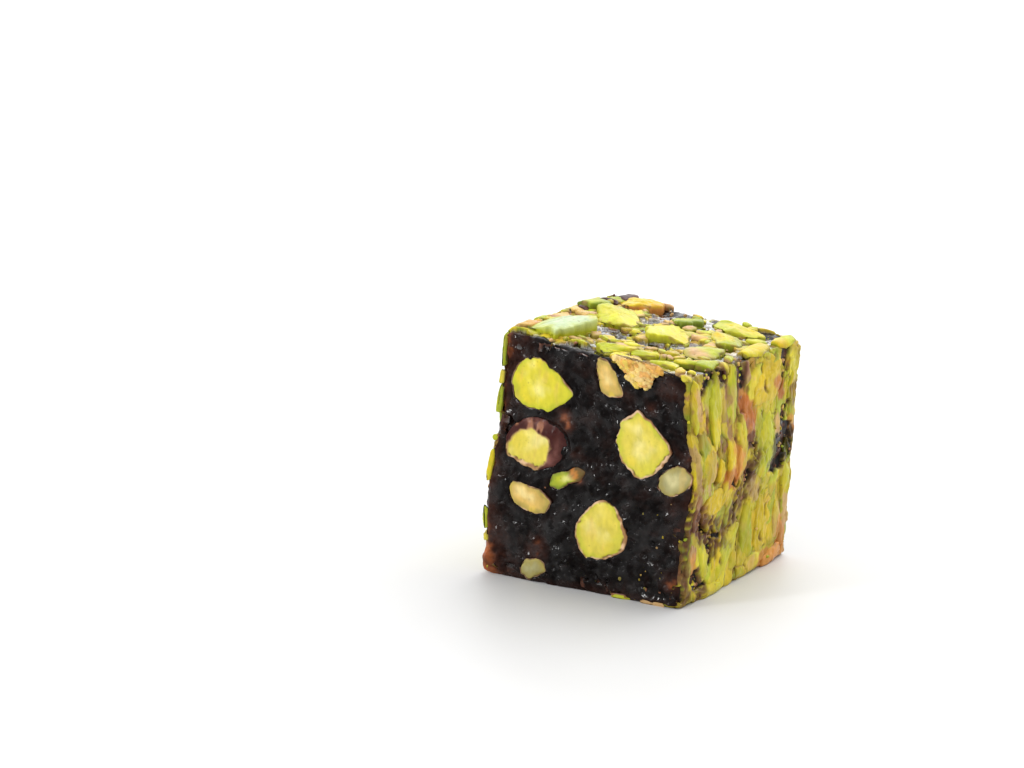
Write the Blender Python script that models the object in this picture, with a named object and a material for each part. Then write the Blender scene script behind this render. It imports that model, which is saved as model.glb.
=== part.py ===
"""A piece of turkish delight: dark fruit jelly full of pistachios, in a coat of pressed pistachio slivers.

The piece was knifed off a long bar that runs along Y. So the front (-Y) and the back (+Y) are cut faces,
which show the jelly with whole nuts cut across, and the coat covers the other four sides.
It stands on its base at Z = 0, with its origin in the middle of the base.

Every nut is a solid of its own that sits in a socket.
"""

import math

import bmesh
import bpy
from mathutils import Vector, noise

MM = 0.001

# The true block, over the slivers
WIDTH = 32.0 * MM
DEPTH = 33.0 * MM
HEIGHT = 34.5 * MM
EDGE_RADIUS = 1.9 * MM  # of the four long edges

# The coat, side by side
COAT_SIDES = {"right": 1.4 * MM, "top": 1.3 * MM, "left": 0.9 * MM, "base": 0.7 * MM}
SLIVER_STAND = {"right": 0.5 * MM, "top": 0.7 * MM, "left": 0.5 * MM}
SWELL = 0.30 * MM  # the coat is uneven by this much
SWELL_SPAN = 9.0 * MM  # over about this distance
LIP = 1.0 * MM  # the foot stands out at the front of the left side
LIP_HEIGHT = 1.8 * MM
LIP_SPAN = 2.2 * MM
SIDE_STEPS = 6
CORNER_STEPS = 3
LENGTH_STEPS = 7

# The soft block leans and slumps to the right: how far its corners moved, along X and Z
CORNER_SHIFT = {
    ("left", "front", "top"): (2.4 * MM, 1.7 * MM),
    ("left", "back", "top"): (0.5 * MM, 1.7 * MM),
    ("right", "front", "top"): (0.0 * MM, -1.7 * MM),
    ("right", "back", "top"): (0.5 * MM, -1.7 * MM),
    ("right", "back", "base"): (-0.8 * MM, 0.0 * MM),
}
# and its sides bulge towards the front: how far, at what height, and over what distance up and down
BULGES = {
    "right": (1.6 * MM, 20.0 * MM, 6.0 * MM),
    "left": (1.3 * MM, 10.5 * MM, 8.5 * MM),
}

# The nuts
FIT_GAP = 0.3 * MM  # round every nut in its socket, and between the coat and the jelly
NUT_POINTS = 12
SLIVER_POINTS = 10
NUT_CROWN = 0.15 * MM  # a cut nut's face is raised by this much in its middle
SLIVER_CROWN = 0.3 * MM
SLIVER_SINK = 0.35 * MM  # how deep a sliver sits in the coat
CUTTER_REACH = 3.0 * MM  # a socket's cutter goes this far out of the surface

# Nuts cut across by the knife: the middle (X, Z), the depth behind the cut, and the radius
# in twelve directions, counter-clockwise from the right as the face is looked at. All in mm.
FRONT_NUTS = {
    "nut_front_big": (-9.1, 27.4, 6.0, (5.6, 4.1, 3.5, 3.9, 3.9, 4.4, 4.8, 4.6, 3.9, 3.3, 3.7, 4.2)),
    "nut_front_skinned": (-8.8, 19.5, 5.0, (4.9, 4.5, 3.6, 3.4, 3.5, 4.0, 4.8, 4.6, 3.8, 3.6, 3.7, 4.0)),
    "nut_front_right": (7.7, 22.5, 6.0, (4.6, 4.2, 4.1, 4.6, 4.1, 3.9, 4.2, 4.2, 4.5, 4.6, 3.5, 3.2)),
    "nut_front_middle": (3.0, 9.0, 6.0, (4.2, 4.0, 4.5, 4.8, 4.0, 3.8, 4.0, 4.4, 4.8, 4.1, 3.8, 4.1)),
    "nut_front_lens": (-8.6, 11.8, 3.5, (3.4, 2.3, 1.7, 1.6, 2.0, 3.3, 2.9, 2.2, 1.9, 2.0, 2.3, 2.9)),
    "nut_front_round": (12.9, 18.6, 3.0, (2.1, 2.3, 2.4, 2.1, 1.6, 1.5, 1.9, 2.6, 2.6, 2.3, 1.7, 1.7)),
    "nut_front_twist": (-3.3, 15.5, 2.0, (2.0, 2.7, 1.6, 1.1, 1.0, 1.2, 1.9, 2.3, 2.0, 1.0, 0.8, 0.9)),
    "nut_front_low": (-7.9, 1.9, 2.5, (2.1, 1.9, 1.3, 1.1, 1.1, 1.2, 1.8, 2.0, 1.4, 1.1, 1.2, 1.4)),
    "nut_front_wedge": (2.3, 30.7, 3.0, (1.8, 1.5, 1.5, 1.9, 2.6, 2.2, 1.6, 1.6, 2.2, 2.2, 2.1, 2.8)),
    "nut_front_chunk": (7.8, 33.0, 3.4, (2.6, 2.9, 2.2, 1.8, 1.9, 2.3, 3.0, 2.3, 2.1, 1.9, 2.0, 2.4)),
}
BACK_NUTS = {
    "nut_back_high": (-6.9, 26.8, 6.0, (4.3, 4.2, 4.0, 4.1, 4.6, 4.7, 4.2, 3.8, 4.3, 4.6, 4.2, 4.0)),
    "nut_back_right": (7.8, 24.9, 5.5, (3.5, 3.9, 4.6, 4.9, 4.2, 3.6, 3.4, 3.7, 4.4, 4.6, 4.0, 3.4)),
    "nut_back_middle": (0.8, 15.8, 6.0, (5.4, 4.4, 3.6, 3.4, 3.7, 4.5, 5.2, 4.6, 3.7, 3.3, 3.6, 4.6)),
    "nut_back_side": (-9.8, 13.6, 4.5, (2.6, 3.0, 3.7, 4.2, 3.6, 2.8, 2.6, 3.0, 3.6, 4.0, 3.5, 2.8)),
    "nut_back_low": (9.0, 8.2, 5.0, (4.2, 3.7, 3.3, 3.6, 4.2, 4.5, 4.2, 3.6, 3.4, 3.8, 4.2, 4.4)),
    "nut_back_foot": (-3.6, 5.2, 3.5, (3.5, 2.6, 2.1, 2.0, 2.3, 3.0, 3.4, 2.7, 2.1, 2.0, 2.2, 2.9)),
    "nut_back_round": (0.8, 29.2, 3.0, (1.9, 2.0, 2.2, 2.1, 2.0, 2.2, 2.4, 2.3, 2.0, 1.8, 1.8, 1.8)),
}

# The large slivers of the coat: side, place across the side (Z on the left and right, X on the top),
# place along Y, length, width, turn in degrees from running along Y, how pointed the leading end is
# and how blunt the other end is, from 0 to 1. Lengths in mm.
SLIVERS = {
    "sliver_right_edge": ("right", 28.9, -14.6, 9.2, 2.2, 90, 0.3, 0.5),
    "sliver_right_tall": ("right", 27.2, -8.7, 12.6, 3.8, 92, 0.5, 0.4),
    "sliver_right_strip": ("right", 28.6, -4.4, 10.0, 2.8, 86, 0.4, 0.6),
    "sliver_right_tan": ("right", 21.2, -12.3, 9.0, 3.8, 93, 0.4, 0.6),
    "sliver_right_finger": ("right", 19.3, -5.3, 8.8, 2.4, 94, 0.5, 0.4),
    "sliver_right_thin": ("right", 18.6, -8.4, 4.4, 1.8, 88, 0.6, 0.5),
    "sliver_right_slim": ("right", 18.2, -1.7, 7.6, 2.6, 96, 0.7, 0.3),
    "sliver_right_ember": ("right", 23.4, 0.7, 5.8, 2.2, 90, 0.4, 0.5),
    "sliver_right_broad": ("right", 29.4, 5.4, 9.4, 8.0, 4, 0.2, 0.6),
    "sliver_right_leaf": ("right", 19.7, 6.1, 9.8, 6.2, -92, 0.9, 0.3),
    "sliver_right_rear": ("right", 28.8, 14.2, 10.4, 2.8, 92, 0.3, 0.6),
    "sliver_right_gold": ("right", 12.7, -8.5, 7.4, 6.2, 20, 0.3, 0.5),
    "sliver_right_husk": ("right", 13.6, -13.9, 6.4, 2.2, 99, 0.4, 0.5),
    "sliver_right_bark": ("right", 6.8, -14.4, 5.8, 2.2, 84, 0.3, 0.5),
    "sliver_right_lime": ("right", 5.8, -11.1, 5.8, 3.0, 108, 0.2, 0.8),
    "sliver_right_slant": ("right", 6.2, -4.0, 10.4, 4.4, 50, 0.6, 0.4),
    "sliver_right_green": ("right", 6.6, 2.3, 10.6, 3.2, 94, 0.5, 0.5),
    "sliver_right_low": ("right", 7.3, 7.2, 9.4, 5.0, 98, 0.5, 0.4),
    "sliver_right_spur": ("right", 7.2, 11.9, 7.2, 2.4, 90, 0.6, 0.4),
    "sliver_right_pale": ("right", 13.2, 14.3, 11.6, 2.4, 92, 0.4, 0.5),
    "sliver_right_foot": ("right", 0.9, -9.4, 11.0, 2.0, 0, 0.5, 0.4),
    "sliver_right_rust": ("right", 1.4, 11.2, 6.4, 2.4, 12, 0.5, 0.5),
    "sliver_top_pale": ("top", -9.8, -9.5, 11.2, 6.8, 10, 0.1, 0.7),
    "sliver_top_lemon": ("top", -7.3, 3.2, 11.6, 6.0, -20, 0.5, 0.4),
    "sliver_top_orange": ("top", -8.8, 12.9, 6.6, 4.6, 80, 0.6, 0.3),
    "sliver_top_middle": ("top", 1.8, 1.2, 11.2, 6.4, -32, 0.5, 0.4),
    "sliver_top_rear": ("top", 7.4, 12.6, 9.4, 4.6, 108, 0.6, 0.3),
    "sliver_top_left": ("top", -13.0, 6.4, 5.6, 3.0, 20, 0.5, 0.6),
    "sliver_top_front": ("top", 1.4, -12.2, 6.8, 4.0, 44, 0.3, 0.8),
    "sliver_top_right": ("top", 10.6, -3.6, 7.8, 4.6, 12, 0.5, 0.5),
    "sliver_top_back": ("top", 1.0, 9.2, 5.4, 3.2, 36, 0.5, 0.5),
    "sliver_top_side": ("top", 9.4, 5.2, 6.8, 4.2, -40, 0.4, 0.4),
    "sliver_left_front": ("left", 24.6, -12.6, 11.6, 4.8, 88, 0.5, 0.4),
    "sliver_left_high": ("left", 28.2, -5.2, 9.6, 5.8, 60, 0.5, 0.3),
    "sliver_left_gold": ("left", 27.0, 6.6, 11.0, 6.8, -36, 0.4, 0.3),
    "sliver_left_middle": ("left", 18.0, 0.6, 12.4, 6.8, -12, 0.4, 0.3),
    "sliver_left_tan": ("left", 13.6, -10.8, 9.0, 4.6, 66, 0.6, 0.4),
    "sliver_left_rear": ("left", 17.0, 12.6, 10.4, 5.8, 80, 0.4, 0.5),
    "sliver_left_foot": ("left", 5.8, -8.4, 8.6, 4.6, 12, 0.4, 0.5),
    "sliver_left_low": ("left", 8.2, 2.6, 10.6, 5.4, -30, 0.5, 0.3),
    "sliver_left_heel": ("left", 6.4, 12.2, 7.2, 5.0, 20, 0.3, 0.6),
}

FINISHES = {
    "jelly": ((0.016, 0.007, 0.006, 1), 0.18),
    "nut_coat": ((0.20, 0.20, 0.05, 1), 0.35),
    "cut_nut": ((0.62, 0.60, 0.12, 1), 0.45),
    "green_sliver": ((0.36, 0.46, 0.06, 1), 0.45),
    "yellow_sliver": ((0.66, 0.58, 0.08, 1), 0.45),
    "roast_nut": ((0.72, 0.42, 0.14, 1), 0.55),
}
YELLOW_NAMES = (
    "edge", "tan", "finger", "thin", "broad", "gold", "slant", "low", "spur", "lemon", "middle", "rear", "front",
)
ROAST_NAMES = ("orange", "chunk", "wedge", "lens", "bark", "ember", "husk", "rust")

OUTER_LEFT = -WIDTH / 2 + SLIVER_STAND["left"]
OUTER_RIGHT = WIDTH / 2 - SLIVER_STAND["right"]
OUTER_TOP = HEIGHT - SLIVER_STAND["top"]
SIDE_FLAT = OUTER_TOP - 2 * EDGE_RADIUS
TOP_FLAT = OUTER_RIGHT - OUTER_LEFT - 2 * EDGE_RADIUS
CORNER_ARC = math.pi / 2 * EDGE_RADIUS
PERIMETER = 2 * (SIDE_FLAT + TOP_FLAT + 2 * CORNER_ARC)


def clear_scene():
    for obj in list(bpy.data.objects):
        bpy.data.objects.remove(obj)


def make_finishes():
    made = {}
    for name, (colour, roughness) in FINISHES.items():
        finish = bpy.data.materials.new(name)
        finish.use_nodes = True
        shader = finish.node_tree.nodes["Principled BSDF"]
        shader.inputs["Base Color"].default_value = colour
        shader.inputs["Roughness"].default_value = roughness
        shader.inputs["Metallic"].default_value = 0.0
        finish.diffuse_color = colour
        made[name] = finish
    return made


def slumped(x, y, z):
    """Where a point of the true block lies once the soft block has leaned and slumped."""
    to_right = x / WIDTH + 0.5
    to_back = y / DEPTH + 0.5
    to_top = z / HEIGHT
    moved = Vector((x, y, z))
    for (side, end, level), (shift_x, shift_z) in CORNER_SHIFT.items():
        weight = to_right if side == "right" else 1 - to_right
        weight *= to_back if end == "back" else 1 - to_back
        weight *= to_top if level == "top" else 1 - to_top
        moved.x += weight * shift_x
        moved.z += weight * shift_z
    for side, (bulge, height, span) in BULGES.items():
        outward = to_right if side == "right" else to_right - 1
        moved.x += bulge * outward * (1 - to_back) * math.exp(-(((z - height) / span) ** 2))
    return moved


def on_profile(around):
    """A point (X, Z) of the coat's rounded profile and its outward normal, at a distance round it.

    The distance starts at the foot of the right side and runs up, over the top and down the left.
    """
    corners = (
        (OUTER_RIGHT, 0.0, SIDE_FLAT),
        (OUTER_RIGHT, OUTER_TOP, TOP_FLAT),
        (OUTER_LEFT, OUTER_TOP, SIDE_FLAT),
        (OUTER_LEFT, 0.0, TOP_FLAT),
    )
    rest = around % PERIMETER
    for quarter, (corner_x, corner_z, flat) in enumerate(corners):
        angle = quarter * math.pi / 2
        outward = Vector((round(math.cos(angle)), round(math.sin(angle))))
        onward = Vector((-outward.y, outward.x))
        start = Vector((corner_x, corner_z)) + onward * EDGE_RADIUS
        if rest <= flat:
            return start + onward * rest, outward
        rest -= flat
        if rest < CORNER_ARC:
            turned = angle + rest / EDGE_RADIUS
            normal = Vector((math.cos(turned), math.sin(turned)))
            centre = start + onward * flat - outward * EDGE_RADIUS
            return centre + normal * EDGE_RADIUS, normal
        rest -= CORNER_ARC
    return on_profile(0.0)


def distance_to(side, across):
    """The distance round the profile of a place on a side."""
    if side == "right":
        return across - EDGE_RADIUS
    if side == "top":
        return SIDE_FLAT + CORNER_ARC + OUTER_RIGHT - EDGE_RADIUS - across
    return SIDE_FLAT + TOP_FLAT + 2 * CORNER_ARC + OUTER_TOP - EDGE_RADIUS - across


def over_coat(around, along, lift):
    """A point over the coat: round the profile, along Y, and out from the surface."""
    place, normal = on_profile(around)
    point = place + normal * lift
    return slumped(point.x, along, max(point.y, 0.0))


def coat_thickness(normal):
    sideways = COAT_SIDES["right"] if normal.x > 0 else COAT_SIDES["left"]
    upright = COAT_SIDES["top"] if normal.y > 0 else COAT_SIDES["base"]
    return sideways * normal.x**2 + upright * normal.y**2


def swell(place, normal, along):
    """How far the uneven coat stands out of its true profile. The base stays flat."""
    if normal.y < -0.01:
        return 0.0
    uneven = SWELL * noise.noise(Vector((place.x, along, place.y)) / SWELL_SPAN)
    foot = math.exp(-(((place.y - LIP_HEIGHT) / LIP_SPAN) ** 2))
    if normal.x < 0:
        uneven += LIP * foot * normal.x**2 * max(0.0, 0.5 - along / DEPTH) ** 2
    return uneven


def profile_distances():
    distances = []
    around = 0.0
    for flat in (SIDE_FLAT, TOP_FLAT, SIDE_FLAT, TOP_FLAT):
        distances += [around + flat * i / SIDE_STEPS for i in range(SIDE_STEPS)]
        around += flat
        distances += [around + CORNER_ARC * i / CORNER_STEPS for i in range(CORNER_STEPS)]
        around += CORNER_ARC
    return distances


def surface_rings(depth_share, gap=0.0):
    """Rings along Y at a share of the coat's thickness under its surface, 0 outside and 1 inside."""
    rings = []
    for step in range(LENGTH_STEPS + 1):
        along = DEPTH * (step / LENGTH_STEPS - 0.5)
        ring = []
        for around in profile_distances():
            place, normal = on_profile(around)
            lift = -depth_share * coat_thickness(normal) - gap
            if depth_share == 0:
                lift = swell(place, normal, along)
            ring.append(over_coat(around, along, lift))
        rings.append(ring)
    return rings


def join_rows(built, lower, upper):
    for i in range(len(lower)):
        j = (i + 1) % len(lower)
        built.faces.new((lower[i], lower[j], upper[j], upper[i]))


def finished_object(name, built, finish):
    bmesh.ops.recalc_face_normals(built, faces=built.faces)
    if built.calc_volume(signed=True) < 0:
        bmesh.ops.reverse_faces(built, faces=built.faces)
    mesh = bpy.data.meshes.new(name)
    built.to_mesh(mesh)
    built.free()
    if finish:
        mesh.materials.append(finish)
        mesh.shade_smooth()
        mesh.set_sharp_from_angle(angle=math.radians(40))
    obj = bpy.data.objects.new(name, mesh)
    bpy.context.scene.collection.objects.link(obj)
    return obj


def add_rings(built, rings, first_tip, last_tip):
    """Adds a closed body through rings of equally many points, each end drawn to a tip or capped flat."""
    rows = [[built.verts.new(point) for point in ring] for ring in rings]
    for lower, upper in zip(rows, rows[1:]):
        join_rows(built, lower, upper)
    for row, tip in ((rows[0], first_tip), (rows[-1], last_tip)):
        if tip is None:
            built.faces.new(row)
            continue
        point = built.verts.new(tip)
        for i in range(len(row)):
            built.faces.new((row[i], row[(i + 1) % len(row)], point))


def solid_from_rings(name, rings, first_tip, last_tip, finish):
    built = bmesh.new()
    add_rings(built, rings, first_tip, last_tip)
    return finished_object(name, built, finish)


def make_jelly(finish):
    front = slumped(0.0, -DEPTH / 2, HEIGHT / 2)
    back = slumped(0.0, DEPTH / 2, HEIGHT / 2)
    return solid_from_rings("jelly", surface_rings(1.0, FIT_GAP), front, back, finish)


def make_coat(finish):
    """The coat is a sleeve that runs along the whole piece and is open at both cuts."""
    built = bmesh.new()
    outer = [[built.verts.new(point) for point in ring] for ring in surface_rings(0.0)]
    inner = [[built.verts.new(point) for point in ring] for ring in surface_rings(1.0)]
    for rows in (outer, inner):
        for lower, upper in zip(rows, rows[1:]):
            join_rows(built, lower, upper)
    join_rows(built, outer[0], inner[0])
    join_rows(built, outer[-1], inner[-1])
    return finished_object("nut_coat", built, finish)


def cut_sockets(body, sockets):
    """Takes all of a body's sockets out of it with one cutter."""
    built = bmesh.new()
    for rings, first_tip, last_tip in sockets:
        add_rings(built, rings, first_tip, last_tip)
    cutter = finished_object(body.name + "_sockets", built, None)
    cutter.hide_render = True
    cutter.display_type = "WIRE"
    cut = body.modifiers.new("sockets", "BOOLEAN")
    cut.operation = "DIFFERENCE"
    cut.solver = "EXACT"
    cut.use_self = True
    cut.object = cutter


def cut_nut_rings(spec, front, grow=0.0, reach=0.0):
    """Rings of half a nut behind a cut face, from the face inward.

    grow widens it all round, and reach starts it outside the face.
    """
    x, z, deep, radii = spec
    face = -DEPTH / 2 if front else DEPTH / 2
    inward = 1 if front else -1

    def ring(depth, share):
        points = []
        for i, radius in enumerate(radii):
            angle = 2 * math.pi * i / NUT_POINTS
            spread = radius * MM * share + grow
            side = spread * math.cos(angle) * inward
            up = spread * math.sin(angle)
            points.append(slumped(x * MM + side, face + inward * depth, z * MM + up))
        return points

    rings = [ring(-reach, 1.0)] if reach else [ring(-NUT_CROWN * 0.6, 0.8)]
    rings += [ring(deep * MM * depth, share) for depth, share in ((0.0, 1.0), (0.55, 0.86), (0.88, 0.5))]
    crown = None if reach else slumped(x * MM, face - inward * NUT_CROWN, z * MM)
    tip = slumped(x * MM, face + inward * (deep * MM + grow), z * MM)
    return rings, crown, tip


def sliver_outline(length, width, pointed, blunt):
    """A kernel's outline seen flat, along and across it: one end drawn to a point, the other chopped off."""
    points = []
    for i in range(SLIVER_POINTS):
        angle = 2 * math.pi * (i + 0.5) / SLIVER_POINTS
        along, across = math.cos(angle), math.sin(angle)
        across = math.copysign(abs(across) ** 0.85, across)
        narrow = 1 - 0.45 * pointed * max(0.0, along) ** 2
        chopped = max(along, -1 + 0.3 * blunt)
        points.append((chopped * length / 2, across * narrow * width / 2))
    return points


def sliver_rings(spec, grow=0.0, reach=0.0):
    """Rings of a sliver pressed into a side, from its buried face out."""
    side, across, along, length, width, turn, pointed, blunt = spec
    around = distance_to(side, across * MM)
    climbing = 1 if side == "right" else -1
    turned = math.radians(turn)
    outline = sliver_outline(length * MM + 2 * grow, width * MM + 2 * grow, pointed, blunt)
    sink = SLIVER_SINK + grow
    stand = SLIVER_STAND[side]
    levels = [(-sink, 0.76), (-0.3 * sink, 1.0), (stand, 0.86)]
    if reach:
        levels = [(-sink, 0.8), (-0.4 * sink, 1.0), (reach, 1.0)]

    def spot(length_share, width_share, lift):
        run = length_share * math.cos(turned) - width_share * math.sin(turned)
        climb = length_share * math.sin(turned) + width_share * math.cos(turned)
        return over_coat(around + climbing * climb, along * MM + run, lift)

    rings = [[spot(p * share, q * share, lift) for p, q in outline] for lift, share in levels]
    buried = spot(0.0, 0.0, -sink)
    crown = None if reach else spot(0.0, 0.0, stand + SLIVER_CROWN)
    return rings, buried, crown


def nut_finish(name, plain, finishes):
    kind = name.split("_")[-1]
    if kind in ROAST_NAMES:
        return finishes["roast_nut"]
    if plain == "green_sliver" and kind in YELLOW_NAMES:
        return finishes["yellow_sliver"]
    return finishes[plain]


def main():
    clear_scene()
    finishes = make_finishes()
    jelly = make_jelly(finishes["jelly"])
    coat = make_coat(finishes["nut_coat"])
    nut_sockets = []
    for nuts, front in ((FRONT_NUTS, True), (BACK_NUTS, False)):
        for name, spec in nuts.items():
            solid_from_rings(name, *cut_nut_rings(spec, front), nut_finish(name, "cut_nut", finishes))
            nut_sockets.append(cut_nut_rings(spec, front, FIT_GAP, CUTTER_REACH))
    sliver_sockets = []
    for name, spec in SLIVERS.items():
        solid_from_rings(name, *sliver_rings(spec), nut_finish(name, "green_sliver", finishes))
        sliver_sockets.append(sliver_rings(spec, FIT_GAP, CUTTER_REACH))
    cut_sockets(jelly, nut_sockets)
    cut_sockets(coat, nut_sockets + sliver_sockets)


main()
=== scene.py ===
import math
import bmesh
import bpy
import numpy as np
from mathutils import Matrix, Vector


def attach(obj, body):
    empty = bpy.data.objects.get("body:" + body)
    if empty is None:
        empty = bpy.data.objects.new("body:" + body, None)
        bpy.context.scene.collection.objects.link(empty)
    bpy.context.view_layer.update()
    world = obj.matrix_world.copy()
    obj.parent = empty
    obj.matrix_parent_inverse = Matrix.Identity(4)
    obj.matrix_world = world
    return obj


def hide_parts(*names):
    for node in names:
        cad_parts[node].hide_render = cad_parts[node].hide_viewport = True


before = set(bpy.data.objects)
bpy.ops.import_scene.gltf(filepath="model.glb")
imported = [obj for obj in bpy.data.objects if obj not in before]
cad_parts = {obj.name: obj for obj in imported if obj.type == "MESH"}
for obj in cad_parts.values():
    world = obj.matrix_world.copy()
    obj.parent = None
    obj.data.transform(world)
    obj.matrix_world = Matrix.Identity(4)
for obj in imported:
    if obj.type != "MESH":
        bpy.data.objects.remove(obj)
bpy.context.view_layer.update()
mm = 0.001

# The true block over its slivers, in mm, and how the soft block leans, slumps and bulges.
# The front and the back are knife cuts. The coat covers the right, top, left and base.
block = {
    "width": 32.0,
    "depth": 33.0,
    "height": 34.5,
    "edgeRadius": 0.85,
    "stand": {"right": 0.5, "top": 0.7, "left": 0.5},
    "cornerShift": {
        ("left", "front", "top"): (2.4, 1.7),
        ("left", "back", "top"): (0.5, 1.7),
        ("right", "front", "top"): (0.0, -1.7),
        ("right", "back", "top"): (0.5, -1.7),
        ("right", "back", "base"): (-0.8, 0.0),
    },
    "bulges": {"right": (1.6, 20.0, 6.0), "left": (1.3, 10.5, 8.5)},
}
halfDepth = block["depth"] / 2
outerLeft = -block["width"] / 2 + block["stand"]["left"]
outerRight = block["width"] / 2 - block["stand"]["right"]
outerTop = block["height"] - block["stand"]["top"]
edgeRadius = block["edgeRadius"]
sideFlat = outerTop - 2 * edgeRadius
topFlat = outerRight - outerLeft - 2 * edgeRadius
cornerArc = math.pi / 2 * edgeRadius
perimeter = 2 * (sideFlat + topFlat + 2 * cornerArc)


def smooth(low, high, value):
    t = np.clip((np.asarray(value, float) - low) / (high - low), 0, 1)
    return t * t * (3 - 2 * t)


def blend(first, second, share):
    # mixes two colours, each the name of a tint or its values
    first, second = (np.asarray(tint[tone] if isinstance(tone, str) else tone, float) for tone in (first, second))
    share = np.asarray(share, float)[..., None]
    return first * (1 - share) + second * share


def spots(*axes):
    # places for the soft noise, from arrays and plain numbers
    return np.stack(np.broadcast_arrays(*(np.asarray(axis, float) for axis in axes)), -1)


# the lattice of the soft noise is turned, so that it never lines up with the block
latticeTurn = np.array(Matrix.Rotation(0.6, 3, "X") @ Matrix.Rotation(0.9, 3, "Y") @ Matrix.Rotation(0.5, 3, "Z"))
latticeSize = 24


def cloud(points, span, seed, octaves=1):
    # soft noise from -1 to 1 through random values on a lattice
    points = np.asarray(points, float)
    total = np.zeros(points.shape[:-1])
    weight = 0.0
    for octave in range(octaves):
        lattice = np.random.default_rng(seed * 31 + octave).uniform(-1, 1, (latticeSize,) * 3)
        spot = points @ latticeTurn / (span / 2**octave) + 1200.37 + 7.7 * octave
        whole = np.floor(spot).astype(int)
        part = spot - whole
        part = part * part * (3 - 2 * part)
        value = np.zeros(points.shape[:-1])
        for corner in range(8):
            step = np.array([corner & 1, corner >> 1 & 1, corner >> 2 & 1])
            near = (whole + step) % latticeSize
            share = np.prod(np.where(step == 1, part, 1 - part), axis=-1)
            value += share * lattice[near[..., 0], near[..., 1], near[..., 2]]
        total += value / 2**octave
        weight += 1 / 2**octave
    return total * 1.6 / weight


def patches(paint, tone, low, high, spot, span, seed, octaves=1, strength=1.0):
    # lays a second tone over the paint in soft patches
    return blend(paint, tone, smooth(low, high, cloud(spot, span, seed, octaves)) * strength)


def slumped(x, y, z):
    # where a point of the true block lies in the soft one
    x, y, z = np.broadcast_arrays(np.asarray(x, float), y, z)
    toRight = x / block["width"] + 0.5
    toBack = y / block["depth"] + 0.5
    toTop = z / block["height"]
    movedX, movedZ = x.copy(), z.astype(float).copy()
    for (side, end, level), (shiftX, shiftZ) in block["cornerShift"].items():
        weight = toRight if side == "right" else 1 - toRight
        weight = weight * (toBack if end == "back" else 1 - toBack)
        weight = weight * (toTop if level == "top" else 1 - toTop)
        movedX += weight * shiftX
        movedZ += weight * shiftZ
    for side, (bulge, height, span) in block["bulges"].items():
        outward = toRight if side == "right" else toRight - 1
        movedX += bulge * outward * (1 - toBack) * np.exp(-(((z - height) / span) ** 2))
    return np.stack([movedX, y, movedZ], axis=-1)


def profileAt(around):
    # the coat's rounded profile at a distance round it, from the foot of the right side upward
    rest = np.mod(np.asarray(around, float), perimeter)
    x, z, normalX, normalZ = (np.zeros_like(rest) for _ in range(4))
    corners = (
        (outerRight, 0.0, sideFlat, 1, 0),
        (outerRight, outerTop, topFlat, 0, 1),
        (outerLeft, outerTop, sideFlat, -1, 0),
        (outerLeft, 0.0, topFlat, 0, -1),
    )
    start = 0.0
    for quarter, (cornerX, cornerZ, flat, outX, outZ) in enumerate(corners):
        onX, onZ = -outZ, outX
        startX = cornerX + onX * edgeRadius
        startZ = cornerZ + onZ * edgeRadius
        run = rest - start
        on = (run >= 0) & (run <= flat)
        x = np.where(on, startX + onX * run, x)
        z = np.where(on, startZ + onZ * run, z)
        normalX = np.where(on, outX, normalX)
        normalZ = np.where(on, outZ, normalZ)
        run = run - flat
        on = (run > 0) & (run < cornerArc)
        turned = quarter * math.pi / 2 + run / edgeRadius
        centreX = startX + onX * flat - outX * edgeRadius
        centreZ = startZ + onZ * flat - outZ * edgeRadius
        x = np.where(on, centreX + np.cos(turned) * edgeRadius, x)
        z = np.where(on, centreZ + np.sin(turned) * edgeRadius, z)
        normalX = np.where(on, np.cos(turned), normalX)
        normalZ = np.where(on, np.sin(turned), normalZ)
        start += flat + cornerArc
    return x, z, normalX, normalZ


def distanceTo(side, across):
    # the distance round the profile of a place on a side: Z on the left and right, X on the top and base
    if side == "right":
        return across - edgeRadius
    if side == "top":
        return sideFlat + cornerArc + outerRight - edgeRadius - across
    if side == "left":
        return sideFlat + topFlat + 2 * cornerArc + outerTop - edgeRadius - across
    return 2 * sideFlat + topFlat + 3 * cornerArc + across - outerLeft - edgeRadius


def sideAt(around):
    rest = np.mod(around, perimeter)
    if rest < sideFlat + cornerArc / 2 or rest > perimeter - cornerArc / 2:
        return "right"
    if rest < sideFlat + topFlat + 1.5 * cornerArc:
        return "top"
    if rest < 2 * sideFlat + topFlat + 2.5 * cornerArc:
        return "left"
    return "base"


def overCoat(around, along, lift, flush):
    # a point over the coat; what would pass a knife cut is cut off flush with it
    x, z, normalX, normalZ = profileAt(around)
    along = np.clip(along, -halfDepth - flush, halfDepth + flush)
    return slumped(x + normalX * lift, along, np.maximum(z + normalZ * lift, 0.0))


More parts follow.
